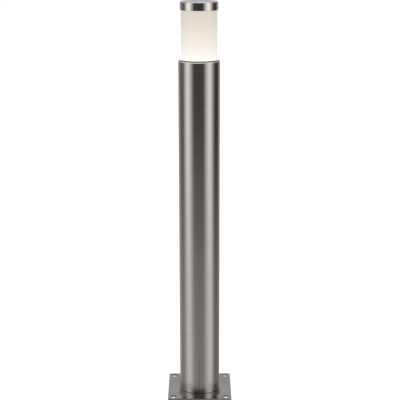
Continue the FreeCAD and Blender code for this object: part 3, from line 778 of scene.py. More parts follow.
def thread_tree() -> GeometryTree:
    """Makes the tree that winds a round-crested thread on a core.

    Returns:
        The tree, with Radius, Turns, Rise, Crest, Base, Steps and Sides as inputs.
    """
    tree = GeometryTree("wound_thread", Radius="Float", Turns="Float", Rise="Float", Crest="Float",
                        Base="Float", Steps="Int", Sides="Int")
    given = tree.given
    spiral = tree.feed(tree.add("CurveSpiral"), Resolution=given["Steps"], Rotations=given["Turns"],
                       Start_Radius=given["Radius"], End_Radius=given["Radius"], Height=given["Rise"])
    upright = tree.feed(tree.add("SetCurveNormal", mode="Z_UP"), Curve=spiral.outputs[0])
    crest = tree.feed(tree.add("CurvePrimitiveCircle"), Resolution=given["Sides"], Radius=given["Crest"])
    wound = tree.feed(tree.add("CurveToMesh"), Curve=upright.outputs[0], Profile_Curve=crest.outputs[0],
                      Fill_Caps=True)
    lift = tree.feed(tree.add("ShaderNodeCombineXYZ"), Z=given["Base"])
    raised = tree.feed(tree.add("Transform"), Geometry=wound.outputs[0], Translation=lift.outputs[0])
    both = tree.add("JoinGeometry")
    for source in (given["Geometry"], raised.outputs[0]):
        tree.join(source, both.inputs[0])
    tree.finish(both.outputs[0])
    return tree


# ---- the workshop ------------------------------------------------------------------------------------


@dataclass(frozen=True)
class Label:
    """What a piece is called, the body it rides on, its finish and the node that it stands for."""

    name: str
    body: Body
    finish: Finish
    node: str | None = None


@dataclass(frozen=True)
class Thread:
    """A wound thread: its middle line's radius, ends and pitch, its crest's radius, and their segments."""

    radius: float
    low: float
    high: float
    pitch: float
    crest: float
    steps: int = 20
    sides: int = 6


def fine_thread(outer: float, low: float, high: float, pitch: float) -> Thread:
    """Gives a fine thread that stays inside an outer radius."""
    return Thread(outer - pitch * 0.32, low, high, pitch, pitch * 0.32)


@dataclass
class Workshop:
    """The tools that every sub-assembly shares: the materials made so far and the three node trees."""

    made: dict[Finish, bpy.types.Material] = field(default_factory=dict)
    lathe: GeometryTree = field(default_factory=lathe_tree)
    pattern: GeometryTree = field(default_factory=pattern_tree)
    thread: GeometryTree = field(default_factory=thread_tree)

    def material(self, finish: Finish) -> bpy.types.Material:
        """Gives a finish's material, and makes it at the first call.

        Args:
            finish: The finish.

        Returns:
            Its material.
        """
        if finish not in self.made:
            self.made[finish] = finish.value.build(finish.name)
        return self.made[finish]

    def dress(self, **finishes: Finish) -> None:
        """Gives solids of the frame their finishes.

        Args:
            **finishes: For each node, the finish that its material slots take.
        """
        for node, finish in finishes.items():
            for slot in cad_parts[node].material_slots:
                slot.material = self.material(finish)
            log.info("dressed %s in %s", node, finish.name)

    def keep(self, label: Label, mesh: bpy.types.Mesh) -> bpy.types.Object:
        """Makes a piece of a mesh, puts it on its body and hides the solid that it stands for.

        Args:
            label: The piece's label.
            mesh: Its mesh.

        Returns:
            The piece.
        """
        mesh.materials.clear()
        mesh.materials.append(self.material(label.finish))
        cleaned(mesh).shade_smooth()
        mesh.set_sharp_from_angle(angle=SHARP)
        piece = linked(label.name, mesh)
        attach(piece, label.body.value)
        if label.node:
            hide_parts(label.node)
        log.info("made %s with %d faces", label.name, len(mesh.polygons))
        return piece

    def paint_shade_on_cut_faces(self, piece: bpy.types.Object, cut: Callable[[bpy.types.MeshPolygon], bool]) -> None:
        """Gives a piece's chosen faces the near-black finish: painted shade, partly the darker cut steel.

        Args:
            piece: The piece.
            cut: Tells whether a face takes the painted shade.
        """
        # The chosen faces take the near-black finish, which paints shade on them.
        piece.data.materials.append(self.material(Finish.cut_edge))
        for face in piece.data.polygons:
            face.material_index = int(cut(face))

    def turn(self, label: Label, corners: Sequence[Corner], steps: int) -> bpy.types.Object:
        """Turns a closed profile round the upright axis.

        Args:
            label: The piece's label.
            corners: The profile's corners.
            steps: The number of segments round the axis.

        Returns:
            The piece.
        """
        points = rounded(corners)
        line = bpy.data.meshes.new("profile")
        line.from_pydata([((r - LATHE_PATH) * MM, -z * MM, 0) for r, z in points],
                         [(index, (index + 1) % len(points)) for index in range(len(points))], [])
        finish = self.material(label.finish)
        return self.keep(label, self.lathe.grow(line, finish, Steps=steps, Path=LATHE_PATH * MM))

    def repeat(self, label: Label, base: bpy.types.Mesh, count: int, start: float = 0.0, step: float = 0.0,
               shift: Sequence[float] = (0, 0, 0)) -> bpy.types.Object:
        """Repeats a mesh round the axis or along a row.

        Args:
            label: The piece's label.
            base: The mesh of one copy.
            count: The number of copies.
            start: The first copy's turn, in degrees.
            step: The turn from copy to copy, in degrees.
            shift: The shift from copy to copy, in millimetres.

        Returns:
            The piece.
        """
        mesh = self.pattern.grow(base, self.material(label.finish), Count=count, Start=math.radians(start),
                                 Step=math.radians(step), Shift=[part * MM for part in shift])
        return self.keep(label, mesh)

    def wind(self, core: bpy.types.Mesh, finish: Finish, thread: Thread) -> bpy.types.Mesh:
        """Winds a thread on a core.

        Args:
            core: The mesh that carries the thread.
            finish: The finish.
            thread: The thread.

        Returns:
            The mesh of both.
        """
        rise = thread.high - thread.low
        return self.thread.grow(core, self.material(finish), Radius=thread.radius * MM, Rise=rise * MM,
                                Turns=rise / thread.pitch, Crest=thread.crest * MM, Base=thread.low * MM,
                                Steps=thread.steps, Sides=thread.sides)

    def keep_threaded(self, label: Label, core: bpy.types.Mesh, thread: Thread) -> bpy.types.Object:
        """Winds a thread on a core and keeps both as one piece."""
        return self.keep(label, self.wind(core, label.finish, thread))


@dataclass(frozen=True)
class Screw:
    """A round-headed screw with a wound thread, driven by a hexagon socket or a straight slot."""

    head: float
    height: float
    shank: float
    length: float
    pitch: float = 0.5
    thread: float | None = None
    socket: float | None = None
    slot: float = 0.8
    points: int = 24

    def blank(self) -> bpy.types.Mesh:
        """Makes the screw without its thread, its head's underside at the origin, pointing up.

        Returns:
            The mesh.
        """
        top, tip, core = self.height, -self.length, self.shank - self.pitch * 0.3
        side, shoulder = top * 0.62, top * 0.87
        rings = [(core * 0.8, tip), (core, tip + 0.3), (core, 0), (self.head, 0), (self.head, side),
                 (self.head * 0.93, shoulder), (self.head * 0.8, top)]
        if self.socket:
            floor = top * 0.45
            rings += [(self.socket, top, 6), (self.socket, floor, 6), (self.socket * 0.1, floor - 0.3)]
            return stacked(rings, self.points)
        half, across = self.slot / 2, self.head * 2
        edges = ((-across, -half), (across, -half), (across, half), (-across, half))
        cutter = loft([[Vector((x, y, z)) for x, y in edges] for z in (top * 0.55, top + 1)])
        return cut_away(stacked(rings, self.points), cutter)

    def mesh(self, shop: Workshop, finish: Finish) -> bpy.types.Mesh:
        """Makes the screw with its thread.

        Args:
            shop: The workshop that winds the thread.
            finish: The finish.

        Returns:
            The mesh.
        """
        low = 0.4 - self.length
        high = low + (self.thread or self.length - 0.6)
        return shop.wind(self.blank(), finish, fine_thread(self.shank, low, high, self.pitch))


@dataclass(frozen=True)
class HexNut:
    """A hexagon nut with chamfered corners and an eased bore."""

    flats: float
    low: float
    high: float
    bore: float
    ease: float = 0.25
    chamfer: float = 0.5
    points: int = 48

    def mesh(self) -> bpy.types.Mesh:
        """Makes the nut round the upright axis, with two flats towards Y.

        Returns:
            The mesh.
        """
        half, low, high, eased = self.flats / 2, self.low, self.high, self.bore + self.ease
        return stacked([(eased, low), (half * 0.98, low), (half, low + self.chamfer, 6),
                        (half, high - self.chamfer, 6), (half * 0.98, high), (eased, high),
                        (self.bore, high - self.ease), (self.bore, low + self.ease)], self.points, hoop=True)


# ---- sub-assemblies ----------------------------------------------------------------------------------


@dataclass
class FootPlate:
    """The square plate that stands on the ground, with its anchor holes and cable hole."""

    shop: Workshop
    side: float = 130.0
    thickness: float = 3.0
    corner: float = 1.5
    spacing: float = 108.0
    hole: float = 5.25
    cable_hole: float = 20.0
    edge: float = 0.25

    def lines(self) -> list[list[Point]]:
        """Gives the plate's border and the edges of its holes.

        Returns:
            The closed lines.
        """
        inset, off = self.side / 2 - self.corner, self.spacing / 2
        border: list[Point] = []
        for quarter, (x, y) in enumerate(((1, 1), (-1, 1), (-1, -1), (1, -1))):
            border += arc(x * inset, y * inset, self.corner, TURN / 4 * quarter, TURN / 4, 6)
        anchors = [arc(x * off, y * off, self.hole, 0, TURN, 48)[:-1] for x in (-1, 1) for y in (-1, 1)]
        return [border, *anchors, arc(0, 0, self.cable_hole, 0, TURN, 96)[:-1]]

    def build(self) -> None:
        """Makes the plate with eased edges, and painted shade on its sides and hole walls."""
        curve = bpy.data.curves.new("plate_line", "CURVE")
        curve.dimensions, curve.fill_mode = "2D", "BOTH"
        for points in self.lines():
            line = curve.splines.new("POLY")
            line.points.add(len(points) - 1)
            for spot, (x, y) in zip(line.points, points):
                spot.co = (x * MM, y * MM, 0, 1)
            line.use_cyclic_u = True
        curve.extrude = (self.thickness / 2 - self.edge) * MM
        curve.bevel_depth, curve.bevel_resolution, curve.offset = self.edge * MM, 3, -self.edge * MM
        mesh = moved(settled(linked("plate_line", curve)), shifted(0, 0, self.thickness / 2))
        piece = self.shop.keep(Label("foot_plate", Body.POST, Finish.plate_steel, "base_plate"), mesh)
        # Painted shade: the plate's sides and the walls and eased edges of its holes take the near-black
        # finish.
        self.shop.paint_shade_on_cut_faces(piece, self.in_painted_shade)

    def in_painted_shade(self, face: bpy.types.MeshPolygon) -> bool:
        """Tells whether a face is a side of the plate or the wall or eased edge of a hole, where shade is
        painted.
        """
        outside = max(abs(face.center.x), abs(face.center.y)) > (self.side / 2 - 1) * MM
        return abs(face.normal.z) < (0.3 if outside else 0.9)


@dataclass
class PostTube:
    """The brushed tube and the weld that holds it on the plate."""

    shop: Workshop
    outer: float = 41.0
    inner: float = 39.5
    low: float = 3.0
    high: float = 684.0
    rings: tuple[float, ...] = (120.0, 300.0, 480.0)
    relief: float = 0.9
    gap: float = 0.6
    weld: float = 3.0
    ripples: int = 96

    def tube(self) -> None:
        """Makes the tube, with the relief at its foot, where shade is painted on the relief's faces."""
        foot, start = self.outer - self.relief, self.low + self.gap
        corners = [Corner(foot, self.low), Corner(foot, start), Corner(self.outer, start),
                   *(Corner(self.outer, level) for level in self.rings), Corner(self.outer, self.high, 0.3),
                   Corner(self.inner, self.high, 0.2), Corner(self.inner, self.low)]
        piece = self.shop.turn(Label("post_shell", Body.POST, Finish.post_steel, "post_tube"), corners, 256)
        # Painted shade: the faces of the relief at the foot take the near-black finish.
        self.shop.paint_shade_on_cut_faces(piece, lambda face: face.center.z < start * MM + DOUBLED
                            and face.center.xy.length > self.inner * MM)

    def bead(self) -> None:
        """Makes the weld inside the tube's foot, with the ripples that it set in."""
        r, z, leg, skin = self.inner - 0.02, self.low, self.weld, 0.05
        face = [Corner(r, z), Corner(r, z + leg), Corner(r - leg * 0.38, z + leg * 0.68),
                Corner(r - leg * 0.68, z + leg * 0.38), Corner(r - leg, z)]

        def ripple(point: Vector) -> Vector:
            """Draws a point of the bead's open face out where a ripple is high.

            Args:
                point: The point.

            Returns:
                Its new place.
            """
            if point.xy.length >= r - skin or point.z <= z + skin:
                return point
            swell = 1 + 0.006 * abs(math.sin(math.atan2(point.y, point.x) * self.ripples / 2))
            return Vector((point.x * swell, point.y * swell, point.z))

        piece = self.shop.turn(Label("foot_weld", Body.POST, Finish.weld_steel, "base_weld"), face, 384)
        moved(piece.data, ripple)

    def build(self) -> None:
        """Makes and dresses the post."""
        self.tube()
        self.bead()


@dataclass
class HeadSocket:
    """The collar in the top of the post, the bridge and the two screws that tie them."""

    shop: Workshop
    tie_offset: float = 32.0
    tie_seat: float = 667.0
    tie_end: float = 607.0

    def build(self) -> None:
        """Makes and dresses the socket."""
        self.shop.dress(head_collar=Finish.collar_metal, bridge=Finish.bridge_steel)
        screw = Screw(head=3.5, height=2.8, shank=2.0, length=self.tie_seat - self.tie_end, pitch=0.7,
                      thread=14, socket=1.5)
        mesh = moved(screw.mesh(self.shop, Finish.screw_steel), shifted(self.tie_offset, 0, self.tie_seat))
        self.shop.repeat(Label("tie_screws", Body.POST, Finish.screw_steel, "collar_tie_screws"), mesh, 2,
                         step=180)


@dataclass
class LampHolder:
    """The porcelain E27 holder on the bridge, its threaded shell and its leads."""

    shop: Workshop
    shell: float = 13.3
    shell_wall: float = 1.0
    shell_top: float = 652.0
    thread_low: float = 629.0
    thread_high: float = 650.0
    pitch: float = 3.63
    nipple: float = 5.0
    nipple_bore: float = 3.5
    nipple_low: float = 603.0
    nipple_high: float = 615.0

    def socket_thread(self) -> None:
        """Makes the rolled lip and thread of the brass shell."""
        inner, outer, top = self.shell - 0.02, self.shell + self.shell_wall + 0.02, self.shell_top
        lip = stacked([(inner, top - 1), (inner, top), (inner + 0.2, top + 0.3), (outer - 0.2, top + 0.3),
                       (outer, top), (outer, top - 1)], 64, hoop=True)
        thread = Thread(self.shell + 0.2, self.thread_low, self.thread_high, self.pitch, crest=0.42,
                        steps=48, sides=10)
        self.shop.keep_threaded(Label("socket_thread", Body.POST, Finish.brass), lip, thread)

    def fixing(self) -> None:
        """Makes the threaded nipple and the nut under the bridge."""
        low, high, bore, core = self.nipple_low, self.nipple_high, self.nipple_bore, self.nipple - 0.3
        pipe = stacked([(bore, low), (core - 0.3, low), (core, low + 0.4), (core, high - 0.4),
                        (core - 0.3, high), (bore, high)], 48, hoop=True)
        thread = fine_thread(self.nipple, low + 0.6, high - 0.6, pitch=1.0)
        self.shop.keep_threaded(Label("threaded_nipple", Body.POST, Finish.nickel, "holder_nipple"),
                                pipe, thread)
        self.shop.keep(Label("nipple_nut", Body.POST, Finish.nickel, "holder_nut"),
                       HexNut(flats=14, low=607, high=610, bore=self.nipple).mesh())

    def build(self) -> None:
        """Makes and dresses the holder."""
        self.socket_thread()
        self.fixing()
        self.shop.dress(lamp_holder_body=Finish.ceramic, lamp_holder_shell=Finish.brass,
                        lamp_holder_contact=Finish.brass, lead_live=Finish.lead_brown,
                        lead_neutral=Finish.lead_blue, lead_earth=Finish.lead_green)


@dataclass
class Lamp:
    """The globe lamp: contact, insulator, threaded shell, housing, globe, board and chips."""

    shop: Workshop
    shell: float = 12.3
    shell_low: float = 633.0
    shell_high: float = 653.0
    pitch: float = 3.63
    globe: float = 27.5
    globe_z: float = 707.5
    seam: float = 692.5
    wall: float = 1.2
    board_top: float = 694.1
    chip_ring: float = 12.05
    chip_side: float = 3.0
    chip_height: float = 0.8

    def threaded_shell(self) -> None:
        """Makes the nickel shell with its rolled thread."""
        low, high, skirt = self.shell_low, self.shell_high, self.shell + 0.6
        core = stacked([(10.6, low), (self.shell - 0.4, low + 1.6), (self.shell, low + 2.4),
                        (self.shell, high - 2.2), (skirt, high - 0.9), (skirt, high)], 64)
        thread = Thread(self.shell - 0.45, low + 2.4, high - 3.4, self.pitch, crest=1.1, steps=48, sides=10)
        self.shop.keep_threaded(Label("lamp_thread", Body.LAMP, Finish.nickel, "lamp_shell"), core, thread)

    def chips(self) -> None:
        """Makes the ring of light chips, each in a pale frame."""
        low, high, half = self.board_top, self.board_top + self.chip_height, self.chip_side / 2
        square = ((-half, -half), (half, -half), (half, half), (-half, half))
        levels = ((1, low), (1, high - 0.1), (0.94, high), (0.72, high), (0.68, high - 0.12))
        chip = loft([[Vector((self.chip_ring + x * share, y * share, z)) for x, y in square]
                     for share, z in levels])
        self.shop.repeat(Label("light_chips", Body.LAMP, Finish.chip_yellow, "lamp_chips"), chip, 8, step=45)

    def glass(self) -> None:
        """Makes the opal globe, open at its seam."""
        skins = []
        for radius, steps in ((self.globe, 40), (self.globe - self.wall, 24)):
            seam = math.asin((self.seam - self.globe_z) / radius)
            skins.append([Corner(max(r, AXIS_GAP), z)
                          for r, z in arc(0, self.globe_z, radius, seam, math.pi / 2 - seam, steps)])
        self.shop.turn(Label("lamp_glass", Body.LAMP, Finish.lamp_opal, "lamp_globe"),
                       [*skins[0], *reversed(skins[1])], 96)

    def build(self) -> None:
        """Makes and dresses the lamp."""
        self.shop.dress(lamp_contact=Finish.nickel, lamp_insulator=Finish.lamp_black,
                        lamp_housing=Finish.lamp_white, lamp_board=Finish.board_white)
        self.threaded_shell()
        self.chips()
        self.glass()


@dataclass
class OpalHead:
    """The lit opal shade with its bayonet lugs, and the gasket under its flange."""

    shop: Workshop
    flange: float = 40.5
    flange_low: float = 688.0
    flange_high: float = 693.0
    foot_round: float = 2.0
    root: float = 2.7
    outer: float = 35.75
    wall: float = 2.5
    top: float = 797.3
    stud_hole: float = 2.75
    spigot: float = 34.5
    spigot_low: float = 671.0
    lug_reach: float = 2.0
    lug_width: float = 10.0
    lug_low: float = 674.2
    lug_high: float = 679.7
    gasket_inner: float = 34.8
    gasket_outer: float = 39.4
    gasket_height: float = 2.0

    def shade(self) -> None:
        """Makes the moulded shade."""
        inner, bore, roof = self.outer - self.wall, self.spigot - self.wall, self.top - self.wall
        low, high = self.flange_low, self.flange_high
        corners = [Corner(self.spigot, self.spigot_low, 0.4), Corner(self.spigot, low),
                   Corner(self.flange, low, 0.5), Corner(self.flange, high, self.foot_round),
                   Corner(self.outer, high, self.root), Corner(self.outer, self.top, 1.25),
                   Corner(self.stud_hole, self.top, 0.2), Corner(self.stud_hole, roof, 0.2),
                   Corner(inner, roof, 1.6), Corner(inner, high + 1.2, 1.0), Corner(bore, high - 0.6, 1.0),
                   Corner(bore, self.spigot_low, 0.6)]
        self.shop.turn(Label("opal_shade", Body.HEAD, Finish.diffuser_opal, "diffuser"), corners, 192)

    def lugs(self) -> None:
        """Makes the three bayonet lugs with drafted sides and a lead-in."""
        root, tip, width = self.spigot - 0.4, self.spigot + self.lug_reach, self.lug_width
        levels = ((self.lug_low, tip - 1.0, width - 1.6), (self.lug_low + 1.0, tip, width - 0.2),
                  (self.lug_high - 0.4, tip, width), (self.lug_high, tip - 0.3, width - 0.5))
        loops = []
        for z, reach, wide in levels:
            half = math.asin(wide / 2 / self.spigot)
            outline = arc(0, 0, reach, -half, 2 * half, 8) + arc(0, 0, root, half, -2 * half, 8)
            loops.append([Vector((x, y, z)) for x, y in outline])
        self.shop.repeat(Label("bayonet_lugs", Body.HEAD, Finish.diffuser_opal), loft(loops), 3, 90, 120)

    def gasket(self) -> None:
        """Makes the flat gasket with its two sealing lips."""
        inner, outer, high = self.gasket_inner, self.gasket_outer, self.flange_low
        low = high - self.gasket_height
        corners = [Corner(inner, low, 0.2), Corner(outer, low, 0.3), Corner(outer, low + 0.7, 0.1),
                   Corner(outer - 0.3, low + 1.0, 0.1), Corner(outer, low + 1.3, 0.1),
                   Corner(outer, high, 0.3), Corner(inner, high, 0.2)]
        self.shop.turn(Label("sealing_gasket", Body.SEAL, Finish.gasket_rubber, "head_gasket"), corners, 192)

    def build(self) -> None:
        """Makes and dresses the head."""
        self.shade()
        self.lugs()
        self.gasket()


@dataclass
class PolishedCap:
    """The deep-drawn cap on the shade, with the stud, seals and nut that hold it."""

    shop: Workshop
    outer: float = 37.25
    wall: float = 1.2
    low: float = 783.0
    high: float = 800.0
    round: float = 3.5
    stud: float = 2.5
    stud_low: float = 786.0
    stud_foot: float = 3.5

    def shell(self) -> None:
        """Makes the drawn cap."""
        inner, under = self.outer - self.wall, self.high - self.wall
        corners = [Corner(self.outer, self.low, 0.35), Corner(self.outer, self.high, self.round),
                   Corner(AXIS_GAP, self.high), Corner(AXIS_GAP, under),
                   Corner(inner, under, self.round - self.wall), Corner(inner, self.low, 0.35)]
        self.shop.turn(Label("drawn_cap", Body.HEAD, Finish.cap_polished, "cap"), corners, 256)

    def fixing(self) -> None:
        """Makes the nut, and the threaded stud with the foot that is welded under the cap."""
        self.shop.keep(Label("cap_hex_nut", Body.HEAD, Finish.screw_steel, "cap_nut"),
                       HexNut(flats=8, low=788.5, high=792.5, bore=self.stud).mesh())
        low, high, core = self.stud_low, self.high - self.wall, self.stud - 0.25
        blank = stacked([(core * 0.8, low), (core, low + 0.4), (core, high - 0.8),
                         (self.stud_foot, high - 0.8), (self.stud_foot, high)], 32)
        thread = fine_thread(self.stud, low + 0.4, high - 1.2, pitch=0.8)
        self.shop.keep_threaded(Label("cap_weld_stud", Body.HEAD, Finish.screw_steel, "cap_stud"),
                                blank, thread)

    def build(self) -> None:
        """Makes and dresses the cap and its fixing."""
        self.shop.dress(cap_gasket=Finish.gasket_rubber, cap_seal=Finish.gasket_rubber,
                        cap_washer=Finish.screw_steel)
        self.shell()
        self.fixing()


@dataclass
class TerminalBay:
    """The bracket under the bridge with its terminals, cable clamp and earth point."""

    shop: Workshop
    pole_pitch: float = 9.0
    pole_levels: tuple[float, float] = (565.0, 575.0)
    block_middle: float = 570.0
    clamp_level: float = 543.0
    clamp_spacing: float = 20.0
    earth_x: float = -27.0
    earth_y: float = 9.0
    bridge_top: float = 612.0
    rivet_x: float = 23.0
    rivet_y: float = 8.0

    def block_screws(self) -> None:
        """Makes the screws that grip the leads, and those that hold the block and the clamp."""
        pitch, span, nickel, steel = self.pole_pitch, self.clamp_spacing, Finish.nickel, Finish.screw_steel
        grip = Screw(head=1.9, height=1.5, shank=1.5, length=3.3, slot=0.6)
        pair = [moved(grip.mesh(self.shop, nickel), laid(0.5, -pitch, level)) for level in self.pole_levels]
        self.shop.repeat(Label("lead_screws", Body.POST, nickel, "terminal_screws"), merged(pair), 3,
                         shift=(0, pitch, 0))
        long, short = (Screw(head=2.75, height=2.0, shank=1.5, length=length).mesh(self.shop, steel)
                       for length in (18, 6))
        self.shop.repeat(Label("block_screws", Body.POST, steel, "terminal_fixings"),
                         moved(long, laid(-2, -pitch / 2, self.block_middle)), 2, shift=(0, pitch, 0))
        self.shop.repeat(Label("clamp_screws", Body.POST, steel, "cable_clamp_screws"),
                         moved(short, laid(10.5, -span / 2, self.clamp_level)), 2, shift=(0, span, 0))

    def earth_point(self) -> None:
        """Makes the earth screw and its nut."""
        x, y, steel = self.earth_x, self.earth_y, Finish.screw_steel
        screw = Screw(head=3.5, height=2.5, shank=2.0, length=8.3, pitch=0.7, slot=1.0)
        self.shop.keep(Label("earth_bolt", Body.POST, steel, "earth_screw"),
                       moved(screw.mesh(self.shop, steel), shifted(x, y, self.bridge_top)))
        nut = HexNut(flats=7, low=605.2, high=608.4, bore=screw.shank)
        self.shop.keep(Label("earth_hex_nut", Body.POST, steel, "earth_nut"),
                       moved(nut.mesh(), shifted(x, y, 0)))

    def rivets(self) -> None:
        """Makes the two domed rivets that hold the bracket."""
        top, under = self.bridge_top, self.bridge_top - 3.5
        rivet = stacked([(0.5, under - 1.2), (1.7, under - 1.05), (2.4, under - 0.6), (2.6, under),
                         (1.6, under), (1.6, top), (3.0, top), (2.8, top + 0.6), (1.9, top + 1.05),
                         (0.6, top + 1.2)], 28)
        self.shop.repeat(Label("domed_rivets", Body.POST, Finish.screw_steel, "bracket_rivets"),
                         moved(rivet, shifted(self.rivet_x, -self.rivet_y, 0)), 2,
                         shift=(0, 2 * self.rivet_y, 0))

    def build(self) -> None:
        """Makes and dresses the terminals."""
        self.shop.dress(terminal_bracket=Finish.bridge_steel, terminal_block=Finish.terminal_plastic,
                        terminal_sleeves=Finish.brass, cable_clamp=Finish.clamp_plastic,
                        earth_lug=Finish.nickel, earth_washer=Finish.screw_steel)
        self.block_screws()
        self.earth_point()
        self.rivets()


# ---- the studio --------------------------------------------------------------------------------------

# What a mirroring face sees round it: the light at azimuths in degrees, 0 at the camera and 90 on its right.
WALL_LIGHT = (
    (-180, 0.46), (-160, 0.43), (-146, 0.42), (-136, 0.34), (-122, 0.14), (-108, 0.12), (-98, 0.14),
    (-92, 0.32), (-84, 0.64), (-76, 0.93), (-68, 1.06), (-61, 1.08), (-55, 0.86), (-48, 0.56),
    (-41, 0.40), (-35, 0.15), (-29, 0.045), (24, 0.05), (31, 0.27), (37, 0.54), (44, 0.70), (50, 0.95),
    (57, 1.08), (64, 1.08), (71, 0.80), (78, 0.54), (86, 0.28), (95, 0.06), (104, 0.05), (114, 0.025),
    (126, 0.11), (141, 0.36), (160, 0.43), (180, 0.46),
)
UPPER_LIGHT = (
    (-180, 0.54), (-160, 0.46), (-136, 0.45), (-108, 0.36), (-92, 0.38), (-84, 0.58), (-76, 0.90),
    (-68, 1.06), (-61, 1.08), (-55, 0.86), (-48, 0.56), (-41, 0.40), (-35, 0.15), (-29, 0.045),
    (24, 0.05), (31, 0.27), (37, 0.54), (44, 0.72), (50, 1.0), (57, 1.12), (64, 1.12), (71, 0.88),
    (78, 0.60), (86, 0.32), (95, 0.14), (114, 0.14), (126, 0.22), (141, 0.38), (160, 0.48), (180, 0.54),
)
GROUND_LIGHT = (
    (-180, 0.50), (-146, 0.50), (-118, 0.29), (-105, 0.28), (-91, 0.42), (-76, 0.66), (-64, 0.80),
    (-50, 0.68), (-38, 0.46), (-29, 0.34), (0, 0.29), (25, 0.32), (31, 0.42), (42, 0.56), (54, 0.72),
    (67, 0.77), (75, 0.72), (82, 0.55), (89, 0.36), (97, 0.24), (106, 0.20), (120, 0.20), (142, 0.30),
    (160, 0.40), (180, 0.50),
)

# The tints of the light of the ground and of the walls, and how far they turn warm where both are dim.
GROUND_TINT, GROUND_SHIFT = (1.01, 0.98, 0.955), (0.06, -0.035, -0.035)
WALL_TINT, WALL_SHIFT = (1.01, 0.975, 0.96), (0.06, 0.0, 0.0)
# The dim stretch of ground in front of the plate: its middle and reach in degrees, and the share lost.
DIM_AZIMUTH, DIM_REACH, DIM_SHARE = -4, 5, 0.5


def light_at(marks: Sequence[Point], azimuth: float) -> float:
    """Gives the light between a ring's marks.

    Args:
        marks: The azimuths and their light.
        azimuth: The azimuth in degrees, from -180 to 180.

    Returns:
        The light.
    """
    for (start, low), (end, high) in zip(marks, marks[1:]):
        if start <= azimuth <= end:
            return low + (high - low) * (azimuth - start) / (end - start)
    return marks[0][1]


@dataclass(frozen=True)
class ScreenRing:
    """A level ring of the screens, in metres, the share of each light that it takes, and whether it
    follows the square edge of the plate."""

    radius: float
    z: float
    ground: float = 0.0
    wall: float = 0.0
    upper: float = 0.0
    overhead: float = 0.0
    hugs_plate: bool = False

    def point(self, azimuth: float, post: float) -> tuple[float, float, float]:
        """Gives the ring's point that a post's mirroring side shows at an azimuth.

        Args:
            azimuth: The azimuth in degrees.
            post: The radius of the post.

        Returns:
            The point.
        """
        lean = math.asin(post / self.radius * math.sin(math.radians(azimuth / 2)))
        place = math.radians(azimuth) - lean * min(1.0, (180 - abs(azimuth)) / 60)
        across, along = math.sin(place), -math.cos(place)
        reach = self.radius / (max(abs(across), abs(along)) if self.hugs_plate else 1.0)
        return (reach * across, reach * along, self.z)

    def light(self, azimuth: float) -> tuple[float, float, float, float]:
        """Gives the ring's light at an azimuth, warmer where the ground is dark.

        Args:
            azimuth: The azimuth in degrees.

        Returns:
            The light's colour.
        """
        low = light_at(GROUND_LIGHT, azimuth) * self.ground
        if self.hugs_plate:
            low *= 1 - DIM_SHARE * max(0.0, 1 - abs(azimuth - DIM_AZIMUTH) / DIM_REACH)
        high = (light_at(WALL_LIGHT, azimuth) * self.wall + light_at(UPPER_LIGHT, azimuth) * self.upper
                + self.overhead)
        warm = max(0.0, 1 - 1.2 * (low + high)) if self.ground else 0.0
        tints = zip(GROUND_TINT, GROUND_SHIFT, WALL_TINT, WALL_SHIFT)
        return (*(low * (near + near_shift * warm) + high * (far + far_shift * warm)
                  for near, near_shift, far, far_shift in tints), 1.0)


